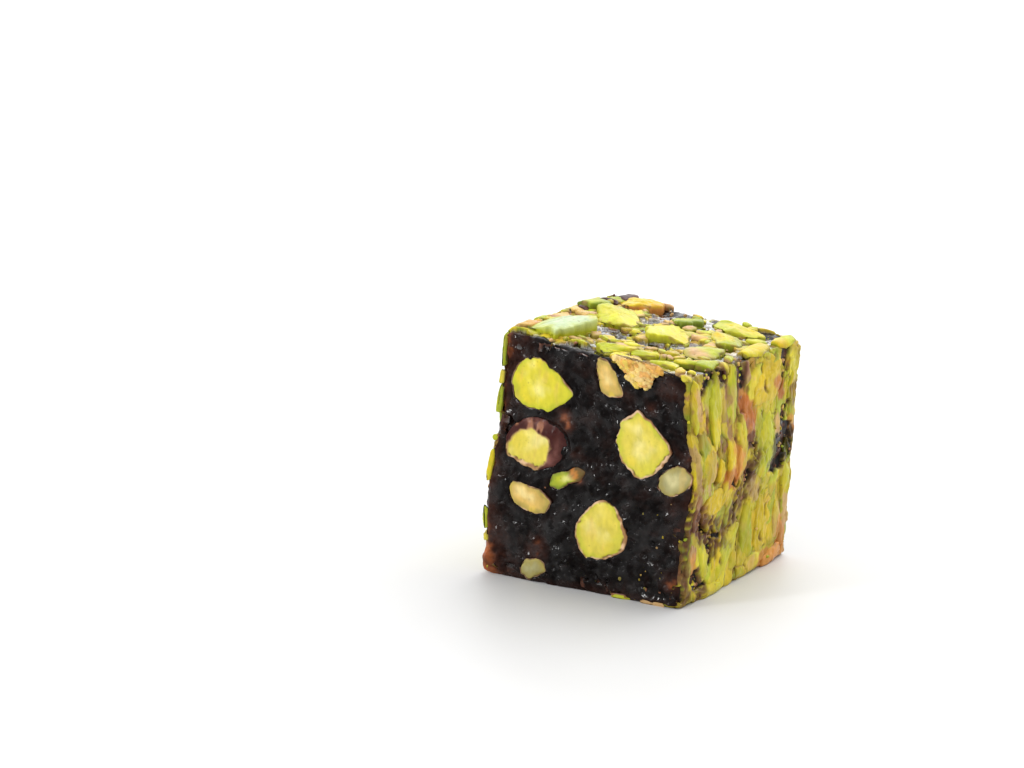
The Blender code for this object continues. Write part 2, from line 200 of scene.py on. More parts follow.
class MeshParts:
    # gathers bodies that go into one mesh
    def __init__(self):
        self.points, self.faces, self.paints, self.shines = [], [], [], []
        self.count = 0

    def add(self, points, faces, paint, shine=0.5):
        self.points.append(np.asarray(points, float).reshape(-1, 3))
        self.faces.append((self.count, faces))
        self.paints.append(np.broadcast_to(paint, (len(self.points[-1]), 3)))
        self.shines.append(np.broadcast_to(shine, (len(self.points[-1]),)))
        self.count += len(self.points[-1])

    def build(self, name, material):
        mesh = bpy.data.meshes.new(name)
        points = np.concatenate(self.points) * mm
        loops, starts, place = [], [], 0
        for offset, faces in self.faces:
            for group in faces:
                group = np.asarray(group) + offset
                loops.append(group.ravel())
                starts.append(place + np.arange(len(group)) * group.shape[1])
                place += group.size
        loops, starts = np.concatenate(loops), np.concatenate(starts)
        mesh.vertices.add(len(points))
        mesh.vertices.foreach_set("co", points.ravel().astype(np.float32))
        mesh.loops.add(len(loops))
        mesh.loops.foreach_set("vertex_index", loops.astype(np.int32))
        mesh.polygons.add(len(starts))
        mesh.polygons.foreach_set("loop_start", starts.astype(np.int32))
        mesh.update(calc_edges=True)
        paint = mesh.attributes.new("paint", "FLOAT_COLOR", "POINT")
        colours = np.ones((len(points), 4), np.float32)
        colours[:, :3] = np.clip(np.concatenate(self.paints), 0, 1)
        paint.data.foreach_set("color", colours.ravel())
        shine = mesh.attributes.new("shine", "FLOAT", "POINT")
        shine.data.foreach_set("value", np.concatenate(self.shines).astype(np.float32))
        mesh.validate()
        mesh.shade_smooth()
        mesh.materials.append(material)
        piece = bpy.data.objects.new(name, mesh)
        bpy.context.scene.collection.objects.link(piece)
        return piece


def ringFaces(rings, segments):
    # faces of a centre point, rings round it, and a last point that closes the far end
    i = np.arange(segments)
    j = (i + 1) % segments
    fan = np.stack([np.zeros_like(i), 1 + i, 1 + j], axis=1)
    quads = []
    for ring in range(rings - 1):
        inner, outer = 1 + ring * segments, 1 + (ring + 1) * segments
        quads.append(np.stack([inner + i, outer + i, outer + j, inner + j], axis=1))
    last = 1 + (rings - 1) * segments
    end = np.full_like(i, 1 + rings * segments)
    return [fan, np.concatenate(quads), np.stack([last + i, end, last + j], axis=1)]


def gridFaces(index):
    return np.stack([index[:-1, :-1], index[1:, :-1], index[1:, 1:], index[:-1, 1:]], -1).reshape(-1, 4)


print("shape of the block ready")

# Colours in linear light
tint = {
    "yellow": (0.72, 0.55, 0.030),
    "lemon": (0.70, 0.61, 0.040),
    "pale": (0.72, 0.60, 0.085),
    "gold": (0.68, 0.47, 0.018),
    "mustard": (0.50, 0.36, 0.030),
    "lime": (0.47, 0.50, 0.028),
    "leaf": (0.31, 0.37, 0.022),
    "green": (0.15, 0.22, 0.020),
    "olive": (0.36, 0.29, 0.065),
    "milk": (0.50, 0.60, 0.36),
    "ash": (0.36, 0.33, 0.15),
    "tan": (0.50, 0.31, 0.13),
    "rose": (0.62, 0.37, 0.17),
    "orange": (0.70, 0.29, 0.06),
    "ember": (0.50, 0.15, 0.035),
    "peach": (0.72, 0.47, 0.12),
    "skin": (0.34, 0.15, 0.08),
    "bark": (0.12, 0.045, 0.028),
    "plum": (0.050, 0.009, 0.007),
    "jelly": (0.0032, 0.0021, 0.0020),
    "warmJelly": (0.040, 0.013, 0.008),
    "amberJelly": (0.30, 0.085, 0.025),
}

# Cut nuts: middle, depth and radii in mm as in the solids, and the look of each
frontNuts = {
    "big": dict(
        x=-9.1, z=27.4, deep=6.0, flesh="lemon", rim="lime", skin=0.10,
        radii=(6.1, 4.3, 3.6, 4.0, 4.0, 4.4, 4.8, 4.6, 3.9, 3.3, 3.7, 4.4)),
    "skinned": dict(
        x=-8.8, z=19.5, deep=5.0, flesh="pale", rim="lime", skin=1.0,
        radii=(5.9, 5.4, 4.3, 3.9, 3.9, 4.3, 5.0, 4.7, 3.8, 3.6, 3.8, 4.6)),
    "right": dict(
        x=7.7, z=22.5, deep=6.0, flesh="pale", rim="lime", skin=0.55,
        radii=(4.6, 4.1, 4.2, 5.0, 4.4, 4.1, 4.3, 4.2, 4.4, 5.0, 4.1, 3.7)),
    "middle": dict(
        x=3.0, z=9.0, deep=6.0, flesh="pale", rim="lime", skin=0.55,
        radii=(4.2, 4.0, 4.5, 4.8, 4.0, 3.8, 4.0, 4.4, 4.8, 4.1, 3.8, 4.1)),
    "lens": dict(
        x=-8.6, z=11.8, deep=3.5, flesh="peach", rim="olive", skin=0.2,
        radii=(3.7, 2.4, 1.8, 1.7, 2.2, 3.7, 3.3, 2.4, 2.0, 2.0, 2.5, 3.4)),
    "round": dict(
        x=12.9, z=18.6, deep=3.0, flesh="ash", rim="olive", skin=0.15,
        radii=(2.5, 2.6, 2.6, 2.4, 2.0, 2.0, 2.6, 3.0, 2.8, 2.4, 2.0, 2.1)),
    "twist": dict(
        x=-3.3, z=15.5, deep=2.0, flesh="lime", rim="green", skin=0.1,
        radii=(2.3, 3.3, 2.5, 1.3, 1.1, 1.5, 2.4, 2.9, 2.2, 1.0, 0.8, 1.0)),
    "low": dict(
        x=-7.9, z=1.9, deep=2.5, flesh="ash", rim="olive", skin=0.1,
        radii=(2.3, 2.3, 1.8, 1.5, 1.5, 1.6, 2.0, 2.3, 1.8, 1.4, 1.4, 1.6)),
    "wedge": dict(
        x=2.3, z=30.7, deep=3.0, flesh="peach", rim="olive", skin=0.15,
        radii=(2.3, 2.0, 2.1, 2.7, 3.3, 2.3, 1.7, 1.6, 2.2, 2.3, 2.5, 3.3)),
}
backNuts = {
    "high": dict(
        x=-6.9, z=26.8, deep=6.0, flesh="pale", rim="lime", skin=0.4,
        radii=(4.3, 4.2, 4.0, 4.1, 4.6, 4.7, 4.2, 3.8, 4.3, 4.6, 4.2, 4.0)),
    "right": dict(
        x=7.8, z=24.9, deep=5.5, flesh="lemon", rim="lime", skin=0.3,
        radii=(3.5, 3.9, 4.6, 4.9, 4.2, 3.6, 3.4, 3.7, 4.4, 4.6, 4.0, 3.4)),
    "middle": dict(
        x=0.8, z=15.8, deep=6.0, flesh="pale", rim="lime", skin=0.5,
        radii=(5.4, 4.4, 3.6, 3.4, 3.7, 4.5, 5.2, 4.6, 3.7, 3.3, 3.6, 4.6)),
    "side": dict(
        x=-9.8, z=13.6, deep=4.5, flesh="lemon", rim="lime", skin=0.2,
        radii=(2.6, 3.0, 3.7, 4.2, 3.6, 2.8, 2.6, 3.0, 3.6, 4.0, 3.5, 2.8)),
    "low": dict(
        x=9.0, z=8.2, deep=5.0, flesh="pale", rim="lime", skin=0.6,
        radii=(4.2, 3.7, 3.3, 3.6, 4.2, 4.5, 4.2, 3.6, 3.4, 3.8, 4.2, 4.4)),
    "foot": dict(
        x=-3.6, z=5.2, deep=3.5, flesh="olive", rim="lime", skin=0.2,
        radii=(3.5, 2.6, 2.1, 2.0, 2.3, 3.0, 3.4, 2.7, 2.1, 2.0, 2.2, 2.9)),
    "round": dict(
        x=0.8, z=29.2, deep=3.0, flesh="lime", rim="green", skin=0.1,
        radii=(1.9, 2.0, 2.2, 2.1, 2.0, 2.2, 2.4, 2.3, 2.0, 1.8, 1.8, 1.8)),
}
nutStyle = {
    "segments": 120,
    "ringStep": 0.20,  # mm between rings on the cut
    "ragged": 0.22,  # mm, how ragged the rim is
    "stand": 0.05,  # mm, how far the cut stands out of the jelly
    "knifeLines": 0.03,  # mm, how high the ridges are that the knife leaves
    "dome": 0.07,
    "wavy": 0.05,
    "rimDrop": 0.10,
    "roughness": 0.42,
    "skinWidth": 0.80,
    "skinStand": 0.10,
    "seamDepth": 0.14,
    "skinSide": -0.1,  # the way the skin is widest, and how little is left of it on the other side
    "skinLeast": 0.36,
    "wallDepth": 1.6,
    "paleFleshAndHighlight": (0.88, 0.80, 0.40),
    "dryHusk": (0.72, 0.46, 0.30),
    "skinGleam": (0.36, 0.15, 0.12),
}
# where light falls on the dark skin of the skinned nut: X, Z and squared reach along each, from its middle
skinGleams = ((-0.4, 2.9, 3.6, 0.35), (3.2, -0.6, 0.3, 2.2), (2.4, -2.0, 0.8, 0.8))
# the flesh of the skinned nut, off its middle, so that its dark skin shows above and to the right
skinnedFlesh = dict(x=-9.9, z=18.6, radii=(3.1, 3.2, 2.6, 2.8, 2.8, 2.9, 3.5, 3.2, 2.5, 2.4, 3.1, 3.3))


def ringOutline(radii, count):
    # a dense closed outline through radii given at equal angles, with its corners a little rounded
    angles = np.arange(len(radii)) * 2 * math.pi / len(radii)
    corners = np.stack([np.cos(angles), np.sin(angles)], 1) * np.asarray(radii)[:, None]
    directions = np.arange(count) * 2 * math.pi / count
    place = directions / (2 * math.pi) * len(radii)
    first = np.floor(place).astype(int) % len(radii)
    start, end = corners[first], corners[(first + 1) % len(radii)]
    unit = np.stack([np.cos(directions), np.sin(directions)], 1)
    edge = end - start
    cross = unit[:, 0] * edge[:, 1] - unit[:, 1] * edge[:, 0]
    reach = (start[:, 0] * edge[:, 1] - start[:, 1] * edge[:, 0]) / cross
    for _ in range(2):
        reach = (np.roll(reach, 1) + 2 * reach + np.roll(reach, -1)) / 4
    return unit * reach[:, None]


def insideNut(x, z, nut):
    # how far inside a nut's outline a place is, as a share of the radius: above 0 inside
    radii = np.asarray(nut["radii"])
    angle = np.mod(np.arctan2(z - nut["z"], x - nut["x"]), 2 * math.pi)
    place = angle / (2 * math.pi) * len(radii)
    first = np.floor(place).astype(int) % len(radii)
    part = place - np.floor(place)
    radius = radii[first] * (1 - part) + radii[(first + 1) % len(radii)] * part
    return 1 - np.hypot(x - nut["x"], z - nut["z"]) / radius


def makeCutNut(parts, word, nut, front, seed):
    rng = np.random.default_rng(seed)
    segments = nutStyle["segments"]
    inward = 1 if front else -1
    outline = ringOutline(nut["radii"], segments)
    radius = np.hypot(*outline.T)
    turn = np.arange(segments) / segments * 2 * math.pi
    around = spots(np.cos(turn), np.sin(turn), seed * 1.7)
    raggedness = cloud(around * radius.mean(), 0.9, seed, 2) * nutStyle["ragged"]
    outline = outline * (1 + raggedness / radius)[:, None]
    radius = np.hypot(*outline.T)
    count = max(5, int(radius.mean() / nutStyle["ringStep"]))
    shares = np.concatenate([np.linspace(0, 1, count + 1)[1:-1], [1 - 0.1 / radius.mean(), 1.0]])
    rows = [np.zeros((1, 2))] + [outline * share for share in shares]
    flat = np.concatenate(rows)
    share = np.concatenate([[0.0]] + [np.full(segments, s) for s in shares])
    radii = np.concatenate([[radius.mean()]] + [radius] * len(shares))
    toRim = (1 - share) * radii
    spot = spots(flat[:, 0], seed * 3.1, flat[:, 1])

    # a cut kernel is faintly ridged across the knife's way and domes a little
    slant = rng.uniform(0.3, 0.9)
    ridges = cloud(spots((flat[:, 0] * slant + flat[:, 1]) * 2.2, flat[:, 0] * 0.4, spot[:, 1]), 1.0, seed + 1, 2)
    height = nutStyle["stand"] + nutStyle["dome"] * (1 - share**2)
    height += nutStyle["wavy"] * cloud(spot, 1.8, seed + 2, 2)
    height += nutStyle["knifeLines"] * ridges - nutStyle["rimDrop"] * smooth(0.25, 0.0, toRim)

    flesh, rim = nut["flesh"], nut["rim"]
    mottle = cloud(spot, 2.4, seed + 3, 3)
    fine = cloud(spot * (1, 1, 0.6), 0.6, seed + 4, 2)
    # painted highlight and shade: the flesh is paler towards one side, a way picked for each nut, and greener on
    # the other; it is also paler in its middle and greener at its rim
    creamAndHighlight = blend(flesh, nutStyle["paleFleshAndHighlight"], 0.5)
    highlightWay = rng.uniform(1.2, 3.4)
    towardHighlight = (flat[:, 0] * math.cos(highlightWay) + flat[:, 1] * math.sin(highlightWay)) / radius.mean()
    paint = blend(flesh, creamAndHighlight, smooth(0.05, 0.9, 0.75 - share + 0.35 * towardHighlight + 0.55 * mottle))
    greenish = smooth(1.1, 0.1, toRim + 0.5 * mottle) * 0.7 + 0.4 * smooth(0.2, 0.9, -towardHighlight + 0.4 * mottle)
    paint = blend(paint, rim, np.clip(greenish, 0, 0.85))
    bright = smooth(0.35, 0.8, cloud(spot, 1.9, seed + 14, 2)) * smooth(0.3, 0.9, share)
    paint = blend(paint, blend(flesh, "yellow", 0.7), bright * 0.6)
    paint = patches(paint, "peach", 0.25, 0.9, spot * (1.3, 1, 0.5), 1.4, seed + 12, 3, 0.30)
    fibre = cloud(spot * (1.5, 1, 0.28), 1.0, seed + 15, 2)
    lines = smooth(0.07, 0.0, np.abs(fibre)) * smooth(-0.1, 0.5, cloud(spot, 2.0, seed + 16))
    paint = blend(paint, blend(rim, "olive", 0.5), lines * 0.35)
    paint = paint * (1 + 0.06 * fine + 0.05 * mottle)[:, None]
    height -= 0.03 * lines
    shine = nutStyle["roughness"] + 0.10 * fine

    # the thin skin round the cut, ragged and broken, tan where it is dry
    wave = cloud(around * radius.mean() * 0.55, 1.3, seed + 5, 2)
    least, side = nutStyle["skinLeast"], nutStyle["skinSide"]
    facing = least + (1 - least) * (0.5 + 0.5 * np.cos(turn - side))
    wave = np.concatenate([[0.0]] + [(1 + 0.9 * wave) * facing] * len(shares))
    width = np.clip(nutStyle["skinWidth"] * nut["skin"] * wave, 0.03, 0.8)
    skinMask = smooth(width + 0.05, width - 0.03, toRim)
    skinTone = patches(nutStyle["dryHusk"], "skin", -0.3, 0.4, spot, 0.7, seed + 6, 2)
    paint = blend(paint, skinTone, skinMask * 0.9)
    seam = smooth(0.10, 0.02, np.abs(toRim - width - 0.05)) * smooth(-0.5, 0.3, cloud(spot, 1.2, seed + 13))
    paint = blend(paint, "bark", seam * 0.9)
    height += nutStyle["skinStand"] * skinMask - nutStyle["seamDepth"] * seam
    # painted shade: a dark line at the very rim, where the cut dips to meet the jelly
    paint = blend(paint, "bark", smooth(0.09, 0.0, toRim) * 0.6)

    if word == "skinned":
        offset = 1 - insideNut(flat[:, 0] + nut["x"], flat[:, 1] + nut["z"], skinnedFlesh)
        offset = offset + 0.05 * fine + 0.06 * cloud(spot, 0.9, seed + 8, 2)
        shell = smooth(0.98, 1.04, offset)
        plum = patches("plum", "skin", 0.35, 0.9, spot * (1.4, 1, 0.6), 0.9, seed + 9, 2)
        for px, pz, wide, high in skinGleams:
            lit = np.exp(-((flat[:, 0] - px) ** 2 / wide + (flat[:, 1] - pz) ** 2 / high)) * (0.6 + 0.5 * fine)
            plum = blend(plum, nutStyle["skinGleam"], lit * 0.6)
        torn = smooth(0.07, 0.0, np.abs(offset - 1.01))
        paint = blend(blend(paint, plum, shell), "tan", torn * 0.8)
        height += shell * (0.12 - 0.75 * smooth(1.05, 1.9, offset) ** 1.5) + 0.10 * torn
        shine = shine * (1 - shell) + 0.31 * shell

    if word == "twist":
        torn = smooth(0.6, 1.4, flat[:, 0] * 0.8 + flat[:, 1] + 0.7 * mottle)
        paint = blend(paint, blend("ember", "bark", smooth(-0.3, 0.3, fine)), torn * 0.85)
        height -= 0.25 * torn

    y = (-halfDepth - height) if front else (halfDepth + height)
    face = slumped(nut["x"] + flat[:, 0] * inward, y, nut["z"] + flat[:, 1])
    # the wall goes only as deep as hides it behind the jelly
    deep = min(nutStyle["wallDepth"], nut["deep"] * 0.5)
    wall = []
    for depth, width in ((0.35, 1.0), (deep, 0.9)):
        wall.append(slumped(nut["x"] + outline[:, 0] * width * inward,
                            (-halfDepth + depth) * inward, nut["z"] + outline[:, 1] * width))
    end = slumped([nut["x"]], [(-halfDepth + deep + 0.3) * inward], [nut["z"]])
    points = np.concatenate([face] + wall + [end])
    faces = ringFaces(len(shares) + 2, segments)
    dark = np.broadcast_to(tint["bark"], (len(points) - len(face), 3))
    parts.add(points, faces, np.concatenate([paint, dark]),
              np.concatenate([shine, np.full(len(dark), 0.4)]))


# which part of the coat is taken, in cells
coverCell = 0.25
coverRound = int(perimeter / coverCell)
coverLong = int(block["depth"] / coverCell)
cover = np.zeros((coverRound, coverLong), bool)
largeCover = cover.copy()
bare = cover.copy()
gone = cover.copy()


def offLine(y, z, line):
    # how far a place is from a line drawn from Y, Z to Y, Z
    y0, z0, y1, z1 = line
    dy, dz = y1 - y0, z1 - z0
    share = np.clip(((y - y0) * dy + (z - z0) * dz) / (dy * dy + dz * dz), 0, 1)
    return np.hypot(y - y0 - share * dy, z - z0 - share * dz)


def ownAxes(run, climb, around, turn):
    # places on the coat measured along and across a sliver that lies turned on it
    turned = math.radians(turn) * (1 if sideAt(around) == "right" else -1)
    return run * math.cos(turned) + climb * math.sin(turned), climb * math.cos(turned) - run * math.sin(turned)


def crackDepth(around, along):
    # how deep a crack of the right side goes, from 0 to 1
    deep = np.zeros(np.shape(around))
    for z, y, length, lean in cracks:
        up, on = around + edgeRadius - z, along - y
        share = np.clip((up * math.cos(lean) + on * math.sin(lean)) * 2 / length, -1, 1)
        bow = 0.18 * length * (1 - share**2)
        away = np.hypot(up - share * length / 2 * math.cos(lean) - bow * math.sin(lean),
                        on - share * length / 2 * math.sin(lean) + bow * math.cos(lean))
        deep = np.maximum(deep, smooth(0.42, 0.16, away) * (1 - 0.5 * np.abs(share)))
    return deep


def footprint(around, along, length, width, turn):
    # the cells that a sliver covers
    count = int(length / 2 / coverCell) + 1
    steps = np.arange(-count, count + 1) * coverCell
    run, climb = np.meshgrid(steps, steps, indexing="ij")
    p, q = ownAxes(run, climb, around, turn)
    inside = (p / (length / 2)) ** 2 + (q / (width / 2)) ** 2 < 1
    i = np.mod(around + climb[inside], perimeter) / coverCell
    j = (along + run[inside] + halfDepth) / coverCell
    ok = (j >= 0) & (j < coverLong)
    return i[ok].astype(int) % coverRound, j[ok].astype(int)


def take(cells):
    cover[cells] = True
    largeCover[cells] = True


# dark seams of the right side that stay free of slivers: Y, Z to Y, Z, and half the width
openSeams = (
    (-13.6, 30.4, -10.8, 33.4, 0.6), (-9.4, 33.2, -6.2, 32.2, 0.7), (-13.9, 30.6, -13.2, 28.0, 0.4),
    (12.0, 33.3, 10.6, 28.0, 0.85), (14.4, 26.2, 11.6, 23.4, 0.8), (11.8, 24.2, 11.4, 20.6, 0.8),
    (13.4, 19.0, 9.9, 17.6, 2.3), (2.4, 20.4, 2.8, 18.6, 0.7), (1.2, 16.4, 0.4, 14.4, 0.7),
    (-1.6, 14.0, -2.6, 10.6, 0.6), (-0.4, 10.0, -0.2, 0.6, 0.35), (-9.0, 9.4, -6.6, 8.6, 0.7),
    (-9.4, 7.4, -8.8, 5.4, 0.6), (-13.4, 4.0, -11.4, 1.8, 1.0), (-13.4, 12.4, -10.6, 10.8, 0.9),
    (-2.2, 33.2, -1.2, 30.2, 0.6), (0.9, 23.4, 1.4, 21.0, 0.5), (-4.2, 16.6, -2.4, 15.6, 0.5),
)
# short cracks in the slabs of the right side: Z, Y, length, lean
cracks = (
    (26.9, -11.6, 1.3, 0.1), (22.0, -9.0, 1.4, 0.2), (22.6, -3.4, 1.0, -0.1), (28.6, 5.6, 2.0, -0.5),
    (17.8, -9.6, 1.7, -0.6), (9.3, 8.0, 1.5, 0.1), (5.2, 7.2, 1.7, -0.6), (24.6, 5.0, 0.7, 0.3),
    (31.6, 4.6, 1.2, 0.2), (12.6, 5.6, 0.9, 0.1), (4.6, -5.6, 0.9, -0.3),
)
# stains on the right side: Y, Z to Y, Z, half the width, tone, strength; the brown ones lie a little lower
stains = (
    (-2.4, 34.0, -1.0, 28.6, 1.3, "bark", 0.75), (-1.0, 28.8, -0.4, 27.4, 0.9, "orange", 0.8),
    (-0.4, 26.8, 1.4, 24.4, 1.5, "ember", 0.9), (0.4, 24.0, 1.0, 21.4, 1.0, "skin", 0.9),
    (1.4, 21.6, 3.4, 19.0, 1.6, "bark", 0.9), (5.0, 18.6, 2.0, 17.2, 1.6, "bark", 0.9),
    (1.8, 17.2, -0.4, 13.2, 2.0, "bark", 0.8), (-3.4, 20.8, -2.8, 18.6, 1.2, "orange", 0.85),
    (-5.4, 17.6, -3.4, 16.4, 1.2, "ember", 0.9), (-2.0, 13.6, -3.0, 10.0, 1.0, "bark", 0.9),
    (-14.2, 31.0, -13.6, 28.0, 0.8, "rose", 0.8), (-14.4, 17.4, -12.8, 13.0, 1.5, "skin", 0.9),
    (-14.0, 13.0, -10.0, 10.4, 1.6, "bark", 0.95), (-9.6, 9.8, -5.4, 8.6, 2.2, "bark", 0.8),
    (-8.6, 8.4, -7.6, 6.6, 1.2, "plum", 0.7), (-14.2, 7.0, -13.8, 5.0, 0.9, "orange", 0.8),
    (-13.0, 4.0, -11.2, 1.6, 1.3, "bark", 0.95), (9.4, 28.4, 10.8, 27.0, 1.3, "ember", 0.9),
    (14.8, 26.6, 14.8, 25.2, 1.2, "bark", 0.8), (14.6, 21.6, 14.8, 19.4, 1.2, "orange", 0.7),
    (9.6, 22.6, 9.8, 20.6, 1.0, "rose", 0.7), (8.0, 1.0, 14.6, 1.2, 1.6, "orange", 0.9),
    (13.2, 5.6, 15.0, 3.0, 1.3, "orange", 0.8), (14.9, 9.0, 15.0, 6.0, 1.0, "rose", 0.8),
    (5.0, 22.5, 6.5, 18.0, 2.4, "lime", 0.7), (-10.2, 31.0, -9.6, 28.6, 1.8, "lime", 0.7),
    (-5.8, 30.2, -5.4, 28.6, 0.7, "skin", 0.8), (-5.8, 25.6, -5.4, 23.4, 0.7, "skin", 0.8),
    (-9.0, 33.0, -6.6, 32.2, 1.2, "bark", 0.8), (3.0, 14.0, 4.4, 13.0, 1.3, "tan", 0.7),
    (13.6, 19.0, 9.8, 17.6, 2.4, "jelly", 0.9), (-16.4, 15.6, -15.8, 9.0, 0.8, "bark", 0.9),
    (-16.4, 7.6, -15.2, 1.4, 0.9, "bark", 0.8), (-16.0, 23.5, -15.4, 18.0, 0.6, "tan", 0.8),
)
# wet bare places of the top: X, Y, and how far they reach along each
wetPlaces = (
    (-3.6, 12.6, 2.8, 4.0), (-3.2, 6.4, 1.3, 2.0), (12.0, 13.0, 3.2, 3.0), (-4.3, -4.4, 3.6, 2.0),
    (4.0, -5.4, 3.2, 1.5), (7.5, -1.0, 1.8, 2.4), (13.0, -10.8, 2.5, 1.9), (14.9, -0.4, 1.4, 2.2),
    (-1.5, -15.3, 4.8, 2.1), (-14.2, 6.8, 1.1, 1.6), (-12.0, -15.8, 3.6, 0.8), (-0.8, 15.7, 1.8, 1.1),
    (8.4, -15.8, 2.4, 0.6), (-9.0, 9.8, 1.8, 1.0), (3.8, 8.4, 1.3, 1.2), (11.4, 2.0, 1.1, 1.5),
    (3.4, 15.0, 2.0, 1.0), (-12.6, 14.6, 3.0, 1.6), (8.6, 8.8, 1.2, 0.9),
)
# where the jelly itself reaches an edge of the front: side, from and to across it
bareEdges = (
    ("left", 19.5, 22.5), ("left", 8.6, 12.6), ("left", -1.0, 4.4), ("top", -16.0, -7.5), ("right", 10.0, 14.5),
    ("right", 1.0, 3.6),
)


def stained(paint, lift, around, along, strength=1.0):
    # the colour and the height after the stains of the right side
    z = around + edgeRadius
    spot = spots(around, along, 3.3)
    wander, coarse = 0.5 * cloud(spot, 1.1, 141, 2), cloud(spot, 0.6, 142)
    for tone, seed in (("lime", 143), ("gold", 144), ("mustard", 145), ("yellow", 146)):
        paint = patches(paint, tone, 0.1, 0.7, spot * (0.7, 1.3, 1), 3.6, seed, 3, 0.4)
    for *line, half, tone, full in stains:
        away = offLine(along, z, line) / half + wander
        share = smooth(1.4, 0.8, away) * full * strength
        if tone in ("bark", "skin", "plum"):
            lift = lift - share * (0.06 + 0.20 * coarse)
            share = share * np.clip(0.95 + 0.6 * coarse, 0, 1)
        paint = blend(paint, tone, share)
    return paint, lift + 0.05 * coarse * strength


def markSeams():
    i, j = np.meshgrid(np.arange(coverRound), np.arange(coverLong), indexing="ij")
    around, along = (i + 0.5) * coverCell, (j + 0.5) * coverCell - halfDepth
    z = around + edgeRadius
    for *line, half in openSeams:
        bare[offLine(along, z, line) < half * (1 + 0.5 * cloud(spots(along, z, 0), 1.6, 81))] = True
    atFront = along < -halfDepth + 1.3 + 0.7 * cloud(spots(around, 0, 0), 2.5, 82)
    for side, low, high in bareEdges:
        first, last = sorted((distanceTo(side, low), distanceTo(side, high)))
        gone[atFront & (around > first) & (around < last)] = True
    x = outerRight - edgeRadius - (around - sideFlat - cornerArc)
    onTop = (x > outerLeft) & (x < outerRight)
    for middleX, middleY, reachX, reachY in wetPlaces:
        away = np.hypot((x - middleX) / reachX, (along - middleY) / reachY)
        bare[onTop & (away < 1 + 0.35 * cloud(spots(x, along, 0), 1.2, 83))] = True
    base = distanceTo("base", -16.0)
    gone[atFront & (around > base - edgeRadius) & (around < distanceTo("base", 4.5))] = True
    bare[gone] = True


# The jelly: two finely worked cuts joined by its sides, which are the dark bed under the slivers
jellyBody = {
    "cells": 174,  # across each cut
    "sideRings": 42,
    "inset": 0.25,  # mm under the coat's surface
    "cornerRadius": 0.75,
    "edgeRound": 0.35,
    "wrinkle": 0.30,
    "swell": 0.18,
    "pits": 230,
    "lip": 1.0,  # how far it squeezed out at the front of the left foot, how high and over what span
    "lipHeight": 1.8,
    "lipSpan": 2.2,
    "cuts": {"front": 61, "back": 67},  # seeds
}
# warm places where light comes through the jelly: middle X, Z, reach, strength
warmPlaces = (
    (-15.5, 33.0, 5.0, 0.5), (-16.0, 24.0, 2.4, 0.45), (-16.5, 14.0, 2.6, 0.45), (-16.5, 3.0, 4.6, 0.95),
    (-7.2, 4.9, 1.7, 0.9), (-4.6, 23.5, 1.3, 1.5), (14.0, 3.6, 1.1, 1.2), (12.6, 31.2, 1.8, 0.6),
    (9.6, 27.9, 0.8, 0.7), (-2.2, 19.4, 1.2, 0.5), (13.4, 14.6, 1.6, 0.35), (-12.0, 29.6, 2.0, 0.25),
    (5.8, 29.2, 1.0, 0.35), (14.6, 22.4, 1.2, 0.45), (-1.2, 15.6, 0.7, 0.8), (11.2, 21.2, 0.8, 0.4),
)


def cutGrid(cells):
    # a square grid drawn out to the rounded outline of the cut: X, Z, distance to the outline, way to it
    inset = jellyBody["inset"]
    steps = np.linspace(-1, 1, cells + 1)
    u, v = np.meshgrid(steps, steps, indexing="ij")
    halfWide = (outerRight - outerLeft) / 2 - inset
    halfHigh = outerTop / 2 - inset / 2
    radius = jellyBody["cornerRadius"]
    a, b = np.abs(u) * halfWide, np.abs(v) * halfHigh
    s = np.clip((a - halfWide + radius) / radius, 0, 1)
    t = np.clip((b - halfHigh + radius) / radius, 0, 1)
    corner = (s > 0) & (t > 0)
    a = np.where(corner, halfWide - radius + radius * s * np.sqrt(1 - t * t / 2), a)
    b = np.where(corner, halfHigh - radius + radius * t * np.sqrt(1 - s * s / 2), b)
    bowed = np.hypot(np.maximum(a - halfWide + radius, 0), np.maximum(b - halfHigh + radius, 0))
    toEdge = np.where(corner, radius - bowed, np.minimum(halfWide - a, halfHigh - b))
    wayX = np.where(corner, (a - halfWide + radius) / np.maximum(bowed, 0.01), halfWide - a < halfHigh - b)
    wayZ = np.where(corner, (b - halfHigh + radius) / np.maximum(bowed, 0.01), halfWide - a >= halfHigh - b)
    x = (outerLeft + outerRight) / 2 + np.sign(u) * a
    z = halfHigh + np.sign(v) * b
    return x, z, np.maximum(toEdge, 0), np.sign(u) * wayX, np.sign(v) * wayZ


